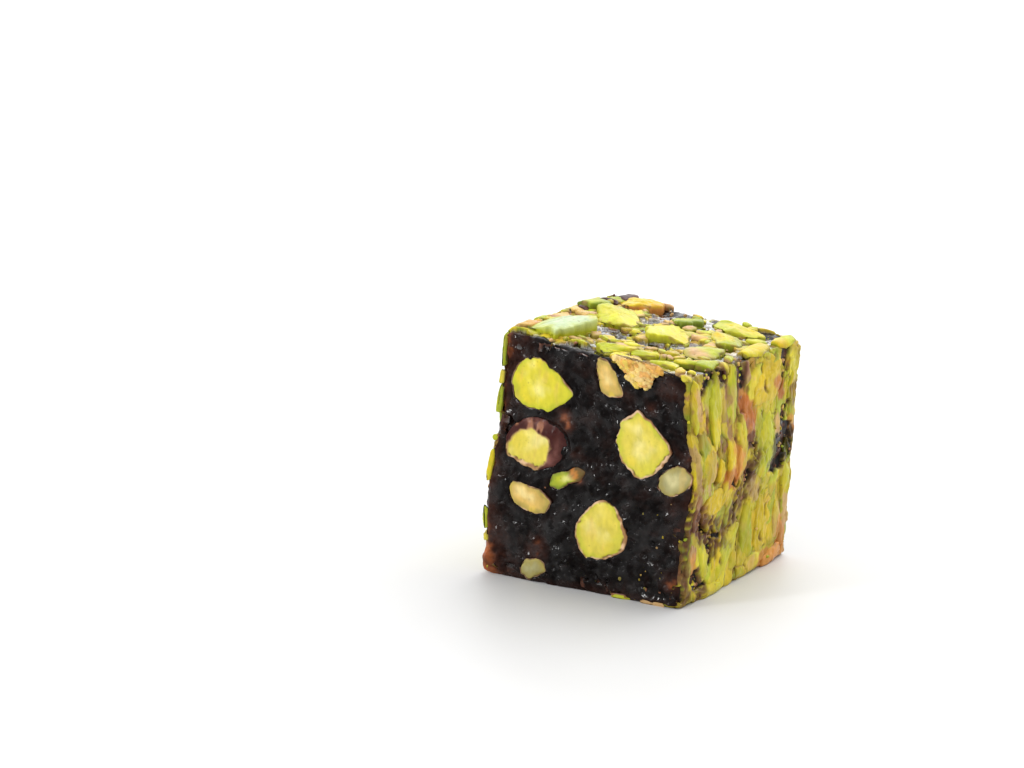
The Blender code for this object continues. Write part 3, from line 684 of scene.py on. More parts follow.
def cutRelief(x, z, toEdge, nuts, face, seed):
    # how deep the cut lies behind the knife's plane, in mm
    rng = np.random.default_rng(seed)
    spot = spots(x, seed * 2.3, z)
    drag = spot @ np.array([[0.82, 0, -0.57], [0, 1, 0], [0.57, 0, 0.82]]).T * (0.8, 1, 1.15)
    deep = jellyBody["swell"] * cloud(spot, 5.5, seed, 2)
    wrinkled = smooth(-0.4, 0.5, cloud(spot, 4, seed + 2))
    deep += jellyBody["wrinkle"] * np.abs(cloud(drag, 1.9, seed + 1, 2)) * wrinkled
    lumpy = smooth(-0.3, 0.4, cloud(spot, 3.0, seed + 5, 2))
    deep += (0.04 + 0.13 * lumpy) * cloud(spot, 1.0, seed + 3, 2) - 0.16 * lumpy * np.abs(
        cloud(spot, 1.6, seed + 6, 2))
    deep += 0.09 * lumpy * cloud(spot, 0.65, seed + 8)
    for _ in range(jellyBody["pits"]):
        px, pz = rng.uniform(-15, 15), rng.uniform(0.5, 33)
        size = rng.uniform(0.16, 0.55) ** 1.2
        away = np.hypot((x - px) * rng.uniform(0.6, 1.4), z - pz) / size
        deep += size * 0.42 * smooth(1.0, 0.35, away) - size * 0.08 * smooth(0.25, 0, np.abs(away - 1.15))
    nearest = np.full_like(x, 9.0)
    for nut in nuts.values():
        inside = insideNut(nut["x"] - face * (x - nut["x"]), z, nut)
        mean = np.mean(nut["radii"])
        nearest = np.minimum(nearest, -inside * mean)
        deep += 0.55 * smooth(0.02, 0.2, inside)
    deep -= 0.10 * smooth(0.9, 0.05, nearest) * (nearest < 9)
    deep += jellyBody["edgeRound"] * smooth(0.8, 0.0, toEdge) ** 2
    return deep


def jellyPaint(x, z, along, seed):
    # thin edges of the jelly glow warm, and so do some places in the front cut
    spot = spots(x, along, z)
    warm = 0.14 * cloud(spot, 3.2, seed, 3) + 0.10 * cloud(spot, 0.8, seed + 1, 2)
    warm += 0.70 * smooth(2.4, 0.0, x - outerLeft) + 0.45 * smooth(1.6, 0.0, z)
    warm += 0.30 * smooth(1.6, 0.0, outerRight - x)
    uneven = 1 + 0.5 * cloud(spot, 1.0, seed + 2, 2)
    for px, pz, reach, strength in warmPlaces:
        if seed == jellyBody["cuts"]["front"] or reach > 2:
            warm = warm + strength * np.exp(-(((x - px) ** 2 + (z - pz) ** 2) / reach**2)) * uneven
    warm = np.clip(warm, 0, 1.6)
    paint = blend("jelly", "warmJelly", np.clip(warm, 0, 1))
    return blend(paint, "amberJelly", np.clip(warm - 0.75, 0, 0.85))


def dustOver(x, z, along, normalX, normalZ):
    # how much of the bed is hidden by ground nut: most on the right side, little on the wet top
    dust = 0.85 * (normalX > 0.7) + 0.55 * (normalX < -0.7) + 0.50 * (normalZ < -0.7)
    dust = dust * smooth(-0.9, 0.1, cloud(spots(x, along, z), 1.1, 77, 2))
    onRight = normalX > 0.7
    i = np.clip((z - edgeRadius) / coverCell, 0, coverRound - 1).astype(int)
    j = min(coverLong - 1, max(0, int((along + halfDepth) / coverCell)))
    dust = np.where(onRight & bare[i, j], dust * 0.2, dust)
    return dust * smooth(halfDepth, halfDepth - 0.8, abs(along))


def makeJelly(parts):
    cells, sideRings = jellyBody["cells"], jellyBody["sideRings"]
    x, z, toEdge, wayX, wayZ = cutGrid(cells)
    index = np.arange((cells + 1) ** 2).reshape(cells + 1, cells + 1)
    loop = np.concatenate([index[:-1, 0], index[-1, :-1], index[:0:-1, -1], index[0, :0:-1]])
    flatX, flatZ, flatEdge, flatWayX, flatWayZ = (part.ravel() for part in (x, z, toEdge, wayX, wayZ))
    quads = gridFaces(index)

    loopX, loopZ = flatX[loop], flatZ[loop]
    beforeX, afterX = np.roll(loopX, 3), np.roll(loopX, -3)
    beforeZ, afterZ = np.roll(loopZ, 3), np.roll(loopZ, -3)
    normalX, normalZ = afterZ - beforeZ, beforeX - afterX
    size = np.hypot(normalX, normalZ)
    normalX, normalZ = normalX / size, normalZ / size

    def swollen(xs, zs, along, outX, outZ):
        # how the outline wanders, with the lip that squeezed out at the front of the left foot
        spot = spots(xs, along, zs)
        bumps = 0.22 * cloud(spot, 2.2, 71, 3) + 0.14 * cloud(spot, 0.9, 72, 2)
        foot = np.exp(-(((zs - jellyBody["lipHeight"]) / jellyBody["lipSpan"]) ** 2))
        bumps = bumps - 0.45 * smooth(halfDepth - 2.0, halfDepth - 3.2, abs(along))
        lip = jellyBody["lip"] * foot * np.where(outX < 0, outX**2, 0) * (0.5 - along / block["depth"]) ** 2
        bumps = bumps + lip
        return xs + outX * bumps, np.maximum(zs + outZ * bumps * np.clip(zs, 0, 1), 0.0)

    rows, paints, shines = [], [], []
    for end, nuts, face in (("front", frontNuts, -1), ("back", backNuts, 1)):
        seed = jellyBody["cuts"][end]
        deep = cutRelief(x, z, toEdge, nuts, face, seed).ravel()
        near = smooth(1.8, 0.0, flatEdge)
        rimX, rimZ = swollen(flatX, flatZ, face * halfDepth, flatWayX, flatWayZ)
        rows.append(slumped(flatX * (1 - near) + rimX * near, face * (halfDepth - 0.04 - deep),
                            flatZ * (1 - near) + rimZ * near))
        paints.append(jellyPaint(flatX, flatZ, face * halfDepth, seed))
        spot = spots(flatX, 0, flatZ)
        wet = smooth(-0.7, 0.7, cloud(spot, 1.5, seed + 3, 3))
        shines.append(np.clip(0.36 - 0.24 * wet + 0.05 * cloud(spot, 0.7, seed + 4, 2), 0.1, 0.5))
    faces = [quads, (quads + len(flatX))[:, ::-1]]
    base = 2 * len(flatX)
    previous = loop
    sides = []
    for ring in range(1, sideRings):
        along = halfDepth * (2 * ring / sideRings - 1)
        spot = spots(loopX, along, loopZ)
        ringX, ringZ = swollen(loopX, loopZ, along, normalX, normalZ)
        rows.append(slumped(ringX, along, ringZ))
        dust = dustOver(loopX, loopZ, along, normalX, normalZ)
        tone = patches("mustard", "leaf", -0.5, 0.5, spot, 1.3, 75, 2)
        tone = patches(tone, "skin", 0.1, 0.8, spot, 0.9, 76, 2)
        paints.append(blend(jellyPaint(loopX, loopZ, along, 73), tone, dust * 0.9))
        shines.append(np.clip(0.14 + 0.12 * cloud(spot, 1.5, 74, 2), 0.05, 0.5) + 0.4 * dust)
        current = base + (ring - 1) * len(loop) + np.arange(len(loop))
        sides.append((previous, current))
        previous = current
    sides.append((previous, loop + len(flatX)))
    for near, far in sides:
        faces.append(np.stack([near, far, np.roll(far, -1), np.roll(near, -1)], 1))
    parts.add(np.concatenate(rows), faces, np.concatenate(paints), np.concatenate(shines))


# Large slivers as in the solids, by side: place across it, place along Y, length, width, turn, pointed, blunt;
# then the colours of the leading end, the other end and the rim, and how far the rim's colour reaches in
largeSlivers = {
    "right": {
        "edge": (28.9, -14.6, 9.2, 2.2, 90, 0.3, 0.5, "gold", "lime", "lime", 0.5),
        "tall": (27.2, -8.7, 12.6, 3.8, 92, 0.5, 0.4, "yellow", "yellow", "lime", 0.4),
        "strip": (28.6, -4.4, 10.0, 2.8, 86, 0.4, 0.6, "lime", "leaf", "lime", 0.6),
        "tan": (21.2, -12.3, 9.0, 3.8, 93, 0.4, 0.6, "gold", "mustard", "tan", 0.4),
        "finger": (19.3, -5.3, 8.8, 2.4, 94, 0.5, 0.4, "yellow", "yellow", "gold", 0.4),
        "thin": (18.6, -8.4, 4.4, 1.8, 88, 0.6, 0.5, "yellow", "gold", "mustard", 0.4),
        "slim": (18.2, -1.7, 7.6, 2.6, 96, 0.7, 0.3, "mustard", "orange", "tan", 0.5),
        "ember": (23.4, 0.7, 5.8, 2.2, 90, 0.4, 0.5, "orange", "ember", "skin", 0.6),
        "broad": (29.4, 5.4, 9.4, 8.0, 4, 0.2, 0.6, "gold", "yellow", "mustard", 0.5),
        "leaf": (19.7, 6.1, 9.8, 6.2, -92, 0.9, 0.3, "lime", "gold", "lime", 0.8),
        "rear": (28.8, 14.2, 10.4, 2.8, 92, 0.3, 0.6, "lime", "gold", "leaf", 0.6),
        "gold": (12.7, -8.5, 7.4, 6.2, 20, 0.3, 0.5, "gold", "gold", "mustard", 0.4),
        "husk": (13.6, -13.9, 6.4, 2.2, 99, 0.4, 0.5, "tan", "skin", "bark", 0.5),
        "bark": (6.8, -14.4, 5.8, 2.2, 84, 0.3, 0.5, "tan", "olive", "skin", 0.6),
        "lime": (5.8, -11.1, 5.8, 3.0, 108, 0.2, 0.8, "lemon", "lime", "lime", 0.4),
        "slant": (6.2, -4.0, 10.4, 4.4, 50, 0.6, 0.4, "lime", "lemon", "lime", 0.8),
        "green": (6.6, 2.3, 10.6, 3.2, 94, 0.5, 0.5, "leaf", "lime", "leaf", 0.8),
        "low": (7.3, 7.2, 9.4, 5.0, 98, 0.5, 0.4, "gold", "yellow", "mustard", 0.5),
        "spur": (7.2, 11.9, 7.2, 2.4, 90, 0.6, 0.4, "yellow", "rose", "orange", 0.4),
        "pale": (13.2, 14.3, 11.6, 2.4, 92, 0.4, 0.5, "lime", "lemon", "leaf", 0.6),
        "foot": (0.9, -9.4, 11.0, 2.0, 0, 0.5, 0.4, "lemon", "lime", "lime", 0.6),
        "rust": (1.4, 11.2, 6.4, 2.4, 12, 0.5, 0.5, "orange", "rose", "skin", 0.4),
    },
    "top": {
        "pale": (-9.8, -8.9, 11.2, 6.8, 10, 0.1, 0.7, "milk", "milk", "lime", 0.7),
        "lemon": (-7.3, 3.2, 11.6, 6.0, -20, 0.5, 0.4, "lime", "lemon", "lime", 0.7),
        "orange": (-8.8, 12.9, 6.6, 4.6, 80, 0.6, 0.3, "gold", "yellow", "orange", 0.4),
        "middle": (1.8, 1.2, 11.2, 6.4, -32, 0.5, 0.4, "lemon", "yellow", "lime", 0.7),
        "rear": (7.4, 12.6, 9.4, 4.6, 108, 0.6, 0.3, "yellow", "lime", "lime", 0.8),
        "left": (-13.0, 6.4, 5.6, 3.0, 20, 0.5, 0.6, "leaf", "lime", "green", 1.0),
        "front": (1.4, -12.2, 6.8, 4.0, 44, 0.3, 0.8, "yellow", "lime", "lime", 0.5),
        "right": (10.6, -3.6, 7.8, 4.6, 12, 0.5, 0.5, "lime", "rose", "leaf", 0.6),
        "back": (1.0, 9.2, 5.4, 3.2, 36, 0.5, 0.5, "leaf", "lime", "green", 0.8),
        "side": (9.4, 5.2, 6.8, 4.2, -40, 0.4, 0.4, "gold", "lime", "leaf", 0.7),
    },
    "left": {
        "front": (24.6, -12.6, 11.6, 4.8, 88, 0.5, 0.4, "lime", "leaf", "green", 0.8),
        "high": (28.2, -5.2, 9.6, 5.8, 60, 0.5, 0.3, "lemon", "lime", "leaf", 0.9),
        "gold": (27.0, 6.6, 11.0, 6.8, -36, 0.4, 0.3, "gold", "lemon", "lime", 0.7),
        "middle": (18.0, 0.6, 12.4, 6.8, -12, 0.4, 0.3, "lemon", "lime", "leaf", 0.9),
        "tan": (13.6, -10.8, 9.0, 4.6, 66, 0.6, 0.4, "mustard", "tan", "olive", 0.6),
        "rear": (17.0, 12.6, 10.4, 5.8, 80, 0.4, 0.5, "lime", "yellow", "leaf", 0.8),
        "foot": (5.8, -8.4, 8.6, 4.6, 12, 0.4, 0.5, "lemon", "yellow", "lime", 0.7),
        "low": (8.2, 2.6, 10.6, 5.4, -30, 0.5, 0.3, "leaf", "lime", "green", 0.9),
        "heel": (6.4, 12.2, 7.2, 5.0, 20, 0.3, 0.6, "gold", "lime", "lime", 0.7),
    },
}
# lesser slivers that also have a place of their own, laid lower than the large ones
lesserSlivers = {
    "right": (
        (31.8, -8.3, 4.2, 3.8, 90, 0.2, 0.5, "lime", "leaf", "lime", 0.4),
        (29.4, -11.8, 5.4, 2.0, 88, 0.3, 0.5, "mustard", "tan", "lime", 0.4),
        (31.6, 0.2, 4.4, 1.5, 88, 0.4, 0.5, "skin", "tan", "bark", 0.4),
        (23.8, 3.6, 5.6, 2.6, 88, 0.3, 0.5, "gold", "mustard", "mustard", 0.4),
        (22.2, 9.7, 5.0, 1.7, 98, 0.4, 0.4, "gold", "tan", "lime", 0.4),
        (29.0, -6.6, 5.0, 1.3, 90, 0.4, 0.4, "lemon", "peach", "lime", 0.4),
        (22.8, -2.4, 5.4, 1.6, 96, 0.4, 0.5, "leaf", "mustard", "leaf", 0.5),
        (15.8, -2.9, 3.0, 1.8, 70, 0.4, 0.5, "orange", "ember", "skin", 0.5),
        (15.6, -5.9, 3.6, 2.0, 80, 0.4, 0.5, "lemon", "gold", "lime", 0.4),
        (11.6, -3.9, 4.6, 2.2, 70, 0.6, 0.4, "lime", "leaf", "leaf", 0.5),
        (20.4, -15.5, 6.4, 1.6, 90, 0.4, 0.5, "lime", "mustard", "lime", 0.4),
        (16.6, -15.3, 3.0, 1.5, 80, 0.4, 0.5, "tan", "peach", "skin", 0.5),
        (12.4, -15.6, 3.4, 1.5, 84, 0.4, 0.5, "leaf", "lime", "green", 0.5),
        (17.0, -11.6, 3.4, 1.6, 110, 0.4, 0.5, "peach", "tan", "skin", 0.6),
        (10.0, -12.6, 3.2, 1.6, 130, 0.4, 0.5, "skin", "bark", "bark", 0.6),
        (3.4, -14.9, 4.6, 1.5, 92, 0.4, 0.5, "lime", "lemon", "lime", 0.4),
        (9.3, -10.3, 3.0, 1.5, 110, 0.4, 0.5, "lemon", "tan", "skin", 0.6),
        (3.0, -6.9, 5.8, 2.2, 20, 0.4, 0.5, "lime", "lemon", "lime", 0.4),
        (13.2, 5.2, 5.0, 3.4, 66, 0.4, 0.5, "olive", "mustard", "leaf", 0.5),
        (13.6, 9.6, 5.2, 3.2, 80, 0.4, 0.5, "lime", "mustard", "leaf", 0.5),
        (12.6, 3.0, 2.8, 1.4, 74, 0.4, 0.5, "peach", "rose", "tan", 0.4),
        (17.2, 14.6, 5.2, 2.2, 90, 0.4, 0.5, "leaf", "lime", "green", 0.5),
        (23.0, 14.6, 5.2, 1.9, 90, 0.4, 0.5, "mustard", "leaf", "leaf", 0.5),
        (9.4, 14.6, 7.0, 2.4, 90, 0.4, 0.5, "lemon", "lime", "leaf", 0.5),
        (4.4, 14.4, 5.0, 2.4, 84, 0.4, 0.5, "rose", "skin", "skin", 0.5),
        (1.8, 5.4, 6.6, 2.6, 5, 0.4, 0.5, "lemon", "peach", "lime", 0.4),
        (1.2, 0.4, 4.4, 2.0, 0, 0.4, 0.5, "leaf", "lime", "leaf", 0.5),
    ),
    "top": (
        (-14.4, -11.0, 6.6, 2.2, 8, 0.3, 0.5, "orange", "peach", "tan", 0.5),
        (-13.6, -3.6, 5.4, 2.2, 6, 0.3, 0.5, "peach", "skin", "tan", 0.5),
        (-11.0, -2.2, 4.4, 1.9, 14, 0.3, 0.5, "skin", "rose", "tan", 0.5),
        (-11.6, 1.4, 4.4, 2.2, 30, 0.3, 0.5, "rose", "peach", "tan", 0.4),
        (-12.6, 11.8, 4.6, 2.2, 30, 0.3, 0.5, "leaf", "lime", "leaf", 0.5),
        (-6.2, 15.6, 3.4, 1.4, 86, 0.3, 0.5, "rose", "skin", "tan", 0.5),
        (6.2, 3.2, 3.2, 2.0, 70, 0.3, 0.5, "peach", "rose", "tan", 0.4),
        (5.2, -11.6, 4.8, 2.2, 70, 0.3, 0.5, "lemon", "lime", "lime", 0.4),
        (4.2, -15.2, 5.0, 1.9, 96, 0.3, 0.5, "yellow", "lemon", "gold", 0.4),
        (9.8, -13.4, 6.0, 1.9, 95, 0.3, 0.5, "lemon", "lime", "lime", 0.4),
        (11.4, -10.2, 3.8, 1.8, 60, 0.3, 0.5, "lime", "lemon", "leaf", 0.4),
        (14.0, -8.0, 5.8, 2.8, 0, 0.3, 0.5, "lime", "leaf", "leaf", 0.4),
        (14.4, 4.2, 8.4, 2.4, 0, 0.3, 0.5, "gold", "yellow", "lime", 0.4),
        (14.8, 12.6, 7.0, 1.8, 0, 0.3, 0.5, "lime", "gold", "lime", 0.4),
        (13.0, 7.8, 3.4, 2.0, 40, 0.3, 0.5, "lime", "lemon", "leaf", 0.4),
    ),
}
# lumps of the jelly that stand up on the top: X, Y, length, width, turn, mm high
jellyLumps = (
    (-11.8, 14.2, 4.4, 2.6, 10, 0.50), (-8.4, 15.0, 3.6, 1.6, 0, 0.30),
    (-13.2, 11.0, 3.4, 2.0, 80, 0.40), (-13.4, 3.2, 2.4, 1.6, 80, 0.35),
)
sliverStyle = {
    # how each kind is made: segments, mm between rings, mm deep in the coat, crown, and drop at the rim
    "large": (84, 0.20, 1.15, 0.25, 0.16),
    "lesser": (54, 0.24, 0.7, 0.2, 0.12),
    "lump": (40, 0.26, 0.8, 0.35, 0.4),
    "rise": {"sliver_top_pale": 1.0, "sliver_top_lemon": 0.5},  # mm the far end stands over the near one
    "flake": 0.09,  # mm, the height of the steps where thin flakes broke off
    "ragged": 0.30,
    "roughness": 0.36,
    "crackDepth": 0.35,
    # length and width over the solid's, and mm it stands higher
    "spread": {
        "right": (1.06, 1.16, 0), "top": (1.04, 1.06, 0), "left": (1.04, 1.08, 0),
        "sliver_top_pale": (1.25, 1.08, 0.8), "sliver_top_lemon": (1.04, 1.2, 0.35),
        "sliver_top_orange": (1.1, 1.1, 0.2), "sliver_right_broad": (1.12, 1.08, 0.05),
        "sliver_top_left": (1.1, 1.2, 0.35), "sliver_top_middle": (1.04, 1.1, 0.2),
    },
}


def sliverOutline(length, width, pointed, blunt, segments, rng, knives, ragged):
    # an ellipse drawn to a point at one end, chopped into a shard by straight cuts
    angle = 2 * math.pi * (np.arange(segments) + 0.5) / segments
    along, across = np.cos(angle), np.sin(angle)
    across = np.sign(across) * np.abs(across) ** 0.8
    narrow = 1 - 0.45 * pointed * np.maximum(0, along) ** 2
    chopped = np.maximum(along, -1 + 0.3 * blunt)
    outline = np.stack([chopped * length / 2, across * narrow * width / 2], 1)
    for knife in range(knives):
        # the first cuts take the ends off at a slant, the rest shave the sides
        way = rng.normal(0, 0.55) + math.pi * (knife % 2) if knife < 2 else (
            rng.choice((-1, 1)) * rng.uniform(1.1, 2.0))
        normal = np.array([math.cos(way), math.sin(way)])
        reach = outline @ normal
        limit = reach.max() * (rng.uniform(0.78, 0.93) if knife < 2 else rng.uniform(0.70, 0.95))
        outline = outline - np.maximum(reach - limit, 0)[:, None] * normal
    size = np.hypot(*outline.T)
    spot = spots(*outline.T, rng.uniform(0, 50))
    notch = cloud(spot, 1.0, 5, 2) + 0.8 * np.minimum(0, cloud(spot, 0.8, 6) + 0.35)
    return outline * (1 + ragged * notch / np.maximum(size, 0.5))[:, None]


def makeSliver(parts, around, along, climbing, spec, rng, stand, kind, rise=0.0):
    length, width, turn, pointed, blunt, lead, trail, rim, reach = spec
    segments, ringStep, sink, crown, rimDrop = kind
    seed = int(rng.integers(1, 9000))
    small = width < 2.7
    outline = sliverOutline(length, width, pointed, blunt, segments, rng, 3 if small else 4,
                            sliverStyle["ragged"] * (0.7 if small else 1))
    radius = np.hypot(*outline.T)
    count = max(2, int(width / 2 / ringStep))
    shares = list(np.linspace(0, 1, count + 1)[1:-1]) + [1 - 0.10 / (width / 2), 1.0]
    flat = np.concatenate([np.zeros((1, 2))] + [outline * s for s in shares])
    share = np.concatenate([[0.0]] + [np.full(segments, s) for s in shares])
    toRim = (1 - share) * np.concatenate([[width / 2]] + [np.minimum(radius, width)] * len(shares))
    spot = spots(*flat.T, seed * 0.37)
    grain = spot * (0.30, 1.7, 1)

    # crowned and tilted, sliced into facets by the knife, with thin flakes broken off along the grain
    tilt = rng.uniform(-1, 1, 2) * (0.10, 0.17)
    lift = stand + crown * (1 - share**2) + (flat[:, 0] * tilt[0] * 2 / length + flat[:, 1] * tilt[1] * 2 / width)
    for _ in range(2 if small else 4):
        way = rng.normal(math.pi / 2, 0.5) * rng.choice((-1, 1))
        slant = rng.uniform(0.10, 0.34)
        start = rng.uniform(-0.1, 0.3) * width
        fall = flat[:, 0] * math.cos(way) + flat[:, 1] * math.sin(way) - start
        lift = np.minimum(lift, stand + crown * 0.8 - slant * fall)
    flakes = cloud(spot * (0.45, 1.4, 1), 2.0, seed, 2)
    lift += sliverStyle["flake"] * (smooth(-0.03, 0.03, flakes) - 0.5) * min(1, width / 4)
    lift -= sliverStyle["flake"] * 0.8 * smooth(0.40, 0.45, cloud(spot * (0.5, 1.2, 1), 1.3, seed + 9, 2))
    lift += 0.035 * cloud(grain, 1.1, seed + 1, 2) + 0.02 * cloud(spot, 0.5, seed + 2, 2)
    lift -= min(rimDrop, stand * 0.6 + 0.05) * smooth(0.16, 0.0, toRim)
    pressed = stand + crown * 0.55 + 0.05 * cloud(spot, 4.0, seed + 10) + flat[:, 1] * tilt[1] * 0.3
    lift = np.where(lift > pressed, pressed + (lift - pressed) * 0.25, lift)
    lift = np.clip(lift, -0.1, stand + crown + 0.12) + rise * flat[:, 0] / length

    mottle = cloud(spot, 3.0, seed + 3, 2)
    streak = cloud(grain, 0.8, seed + 4, 3)
    change = smooth(-0.55, 0.55, flat[:, 0] * 2 / length * 0.7 + 0.45 * mottle)
    paint = blend(trail, lead, change)
    sideSlope = flat[:, 1] / width * 2 * rng.choice((-1, 1))
    rimShare = smooth(0.5, 1.0, share + 0.22 * mottle + 0.28 * sideSlope) * reach
    paint = blend(paint, rim, np.clip(rimShare, 0, 1))
    other = blend("peach", "rose", smooth(-0.3, 0.5, streak))
    paint = patches(paint, other, 0.60, 1.0, spot * (0.6, 1.2, 1), 1.8, seed + 5, 2, 0.5)
    paint = paint * (1 + 0.10 * streak + 0.08 * mottle - 0.05 * smooth(0.1, -0.1, flakes))[:, None]
    milky = lead == "milk"  # a skinned half, without any husk
    husk = smooth(0.25, 0.7, cloud(spot, 1.5, seed + 6, 2)) * smooth(0.42, 0.05, toRim) * (0 if milky else 0.6)
    paint = blend(paint, blend("bark", "skin", smooth(-0.3, 0.5, streak)), husk)
    shine = sliverStyle["roughness"] + 0.10 * streak

    walls = ((1.0, stand * 0.25), (1.0, -0.4 * sink), (0.86, -sink))
    rows = [flat] + [outline * grow for grow, _ in walls] + [np.zeros((1, 2))]
    lifts = np.concatenate([lift] + [np.full(segments, level) for _, level in walls] + [[-sink]])
    flat = np.concatenate(rows)
    wallSpot = spots(*flat[len(lift):].T, lifts[len(lift):])
    browned = 0.08 + 0.4 * smooth(0.0, 0.6, cloud(wallSpot, 1.2, seed + 7, 2))
    wallTone = blend(rim, "skin", browned * (0.1 if milky else 1))
    paint = np.concatenate([paint, wallTone])
    shine = np.concatenate([shine, np.full(len(wallTone), 0.4)])
    turned = math.radians(turn)
    run = flat[:, 0] * math.cos(turned) - flat[:, 1] * math.sin(turned)
    climb = climbing * (flat[:, 0] * math.sin(turned) + flat[:, 1] * math.cos(turned))
    if climbing > 0:
        paint, lifts = stained(paint, lifts, around + climb, along + run, 0.9)
        deep = crackDepth(around + climb, along + run)
        lifts = lifts - sliverStyle["crackDepth"] * deep
        paint = blend(paint, "bark", deep)
    atCut = smooth(halfDepth - 0.1, halfDepth + 0.1, np.abs(along + run))
    cutTone = blend(lead, rim, 0.3 + 0.3 * cloud(spots(climb, run, lifts), 0.7, seed + 8))
    paint = blend(paint, cutTone, atCut * 0.8)
    points = overCoat(around + climb, along + run, lifts, 0.05 + 0.06 * rng.random())
    faces = ringFaces(len(shares) + 3, segments)
    if climbing < 0:
        faces = [group[:, ::-1] for group in faces]
    parts.add(points, faces, paint, shine)


# The ground and pressed nut between the large slivers, a fine relief that runs right round the block.
# Kinds are length, width and count of the flakes pressed into it, the later ones over the earlier
coatFill = {
    "steps": {"near": 0.168, "far": 0.24},  # mm between points, on the right and top, and on the left and base
    "ground": {"right": 0.10, "top": -0.10, "left": -0.16, "base": -0.02},
    "kinds": {
        "right": ((1.6, 0.9, 60), (9.5, 4.6, 46), (8.0, 3.0, 16), (3.4, 1.3, 10), (2.6, 2.0, 8)),
        "top": ((1.2, 0.8, 90), (4.2, 2.6, 46), (3.0, 1.8, 50), (1.8, 1.1, 40)),
        "left": ((1.6, 1.0, 80), (6.0, 3.0, 30), (4.2, 2.2, 50)),
        "base": ((6.4, 3.2, 40), (4.4, 2.2, 60), (2.6, 1.4, 80)),
    },
    "level": {"right": (0.26, 0.40), "top": (0.05, 0.42), "left": (-0.05, 0.22), "base": (-0.02, 0.06)},
    "turn": {"right": (90, 10)},  # the flakes' way and how far it strays; on the other sides they lie anyhow
    "tones": {
        "right": ("yellow", "yellow", "gold", "gold", "lemon", "lemon", "lime", "lime", "leaf", "mustard"),
        "top": ("lemon", "lemon", "lime", "lime", "yellow", "yellow", "peach", "tan", "rose", "leaf"),
        "left": ("lemon", "lime", "lime", "leaf", "gold", "mustard", "peach"),
        "base": ("lemon", "lime", "lime", "leaf", "gold", "tan"),
    },
    # how far the ground is wet jelly instead of nut, and how much smoother that makes it
    "dark": {"right": 0.35, "top": 0.9, "left": 0.95, "base": 0.3},
    "gloss": {"right": 0.06, "top": 0.25, "left": 0.06, "base": 0.06},
    # mm the fill lies lower at the bare places, how rough they are, and mm lower where jelly reaches an edge
    "bareDepth": {"right": 0.15, "top": 0.50, "left": 0.50, "base": 0.50},
    "bareShine": {"right": 0.33, "top": 0.15, "left": 0.15, "base": 0.15},
    "goneDepth": 1.4,
    "roughness": {"ground": 0.42, "flake": 0.38},
    "gapDepth": 0.12,
    "crackDepth": 0.30,
    "rims": ("lime", "leaf", "tan", "lemon"),
}


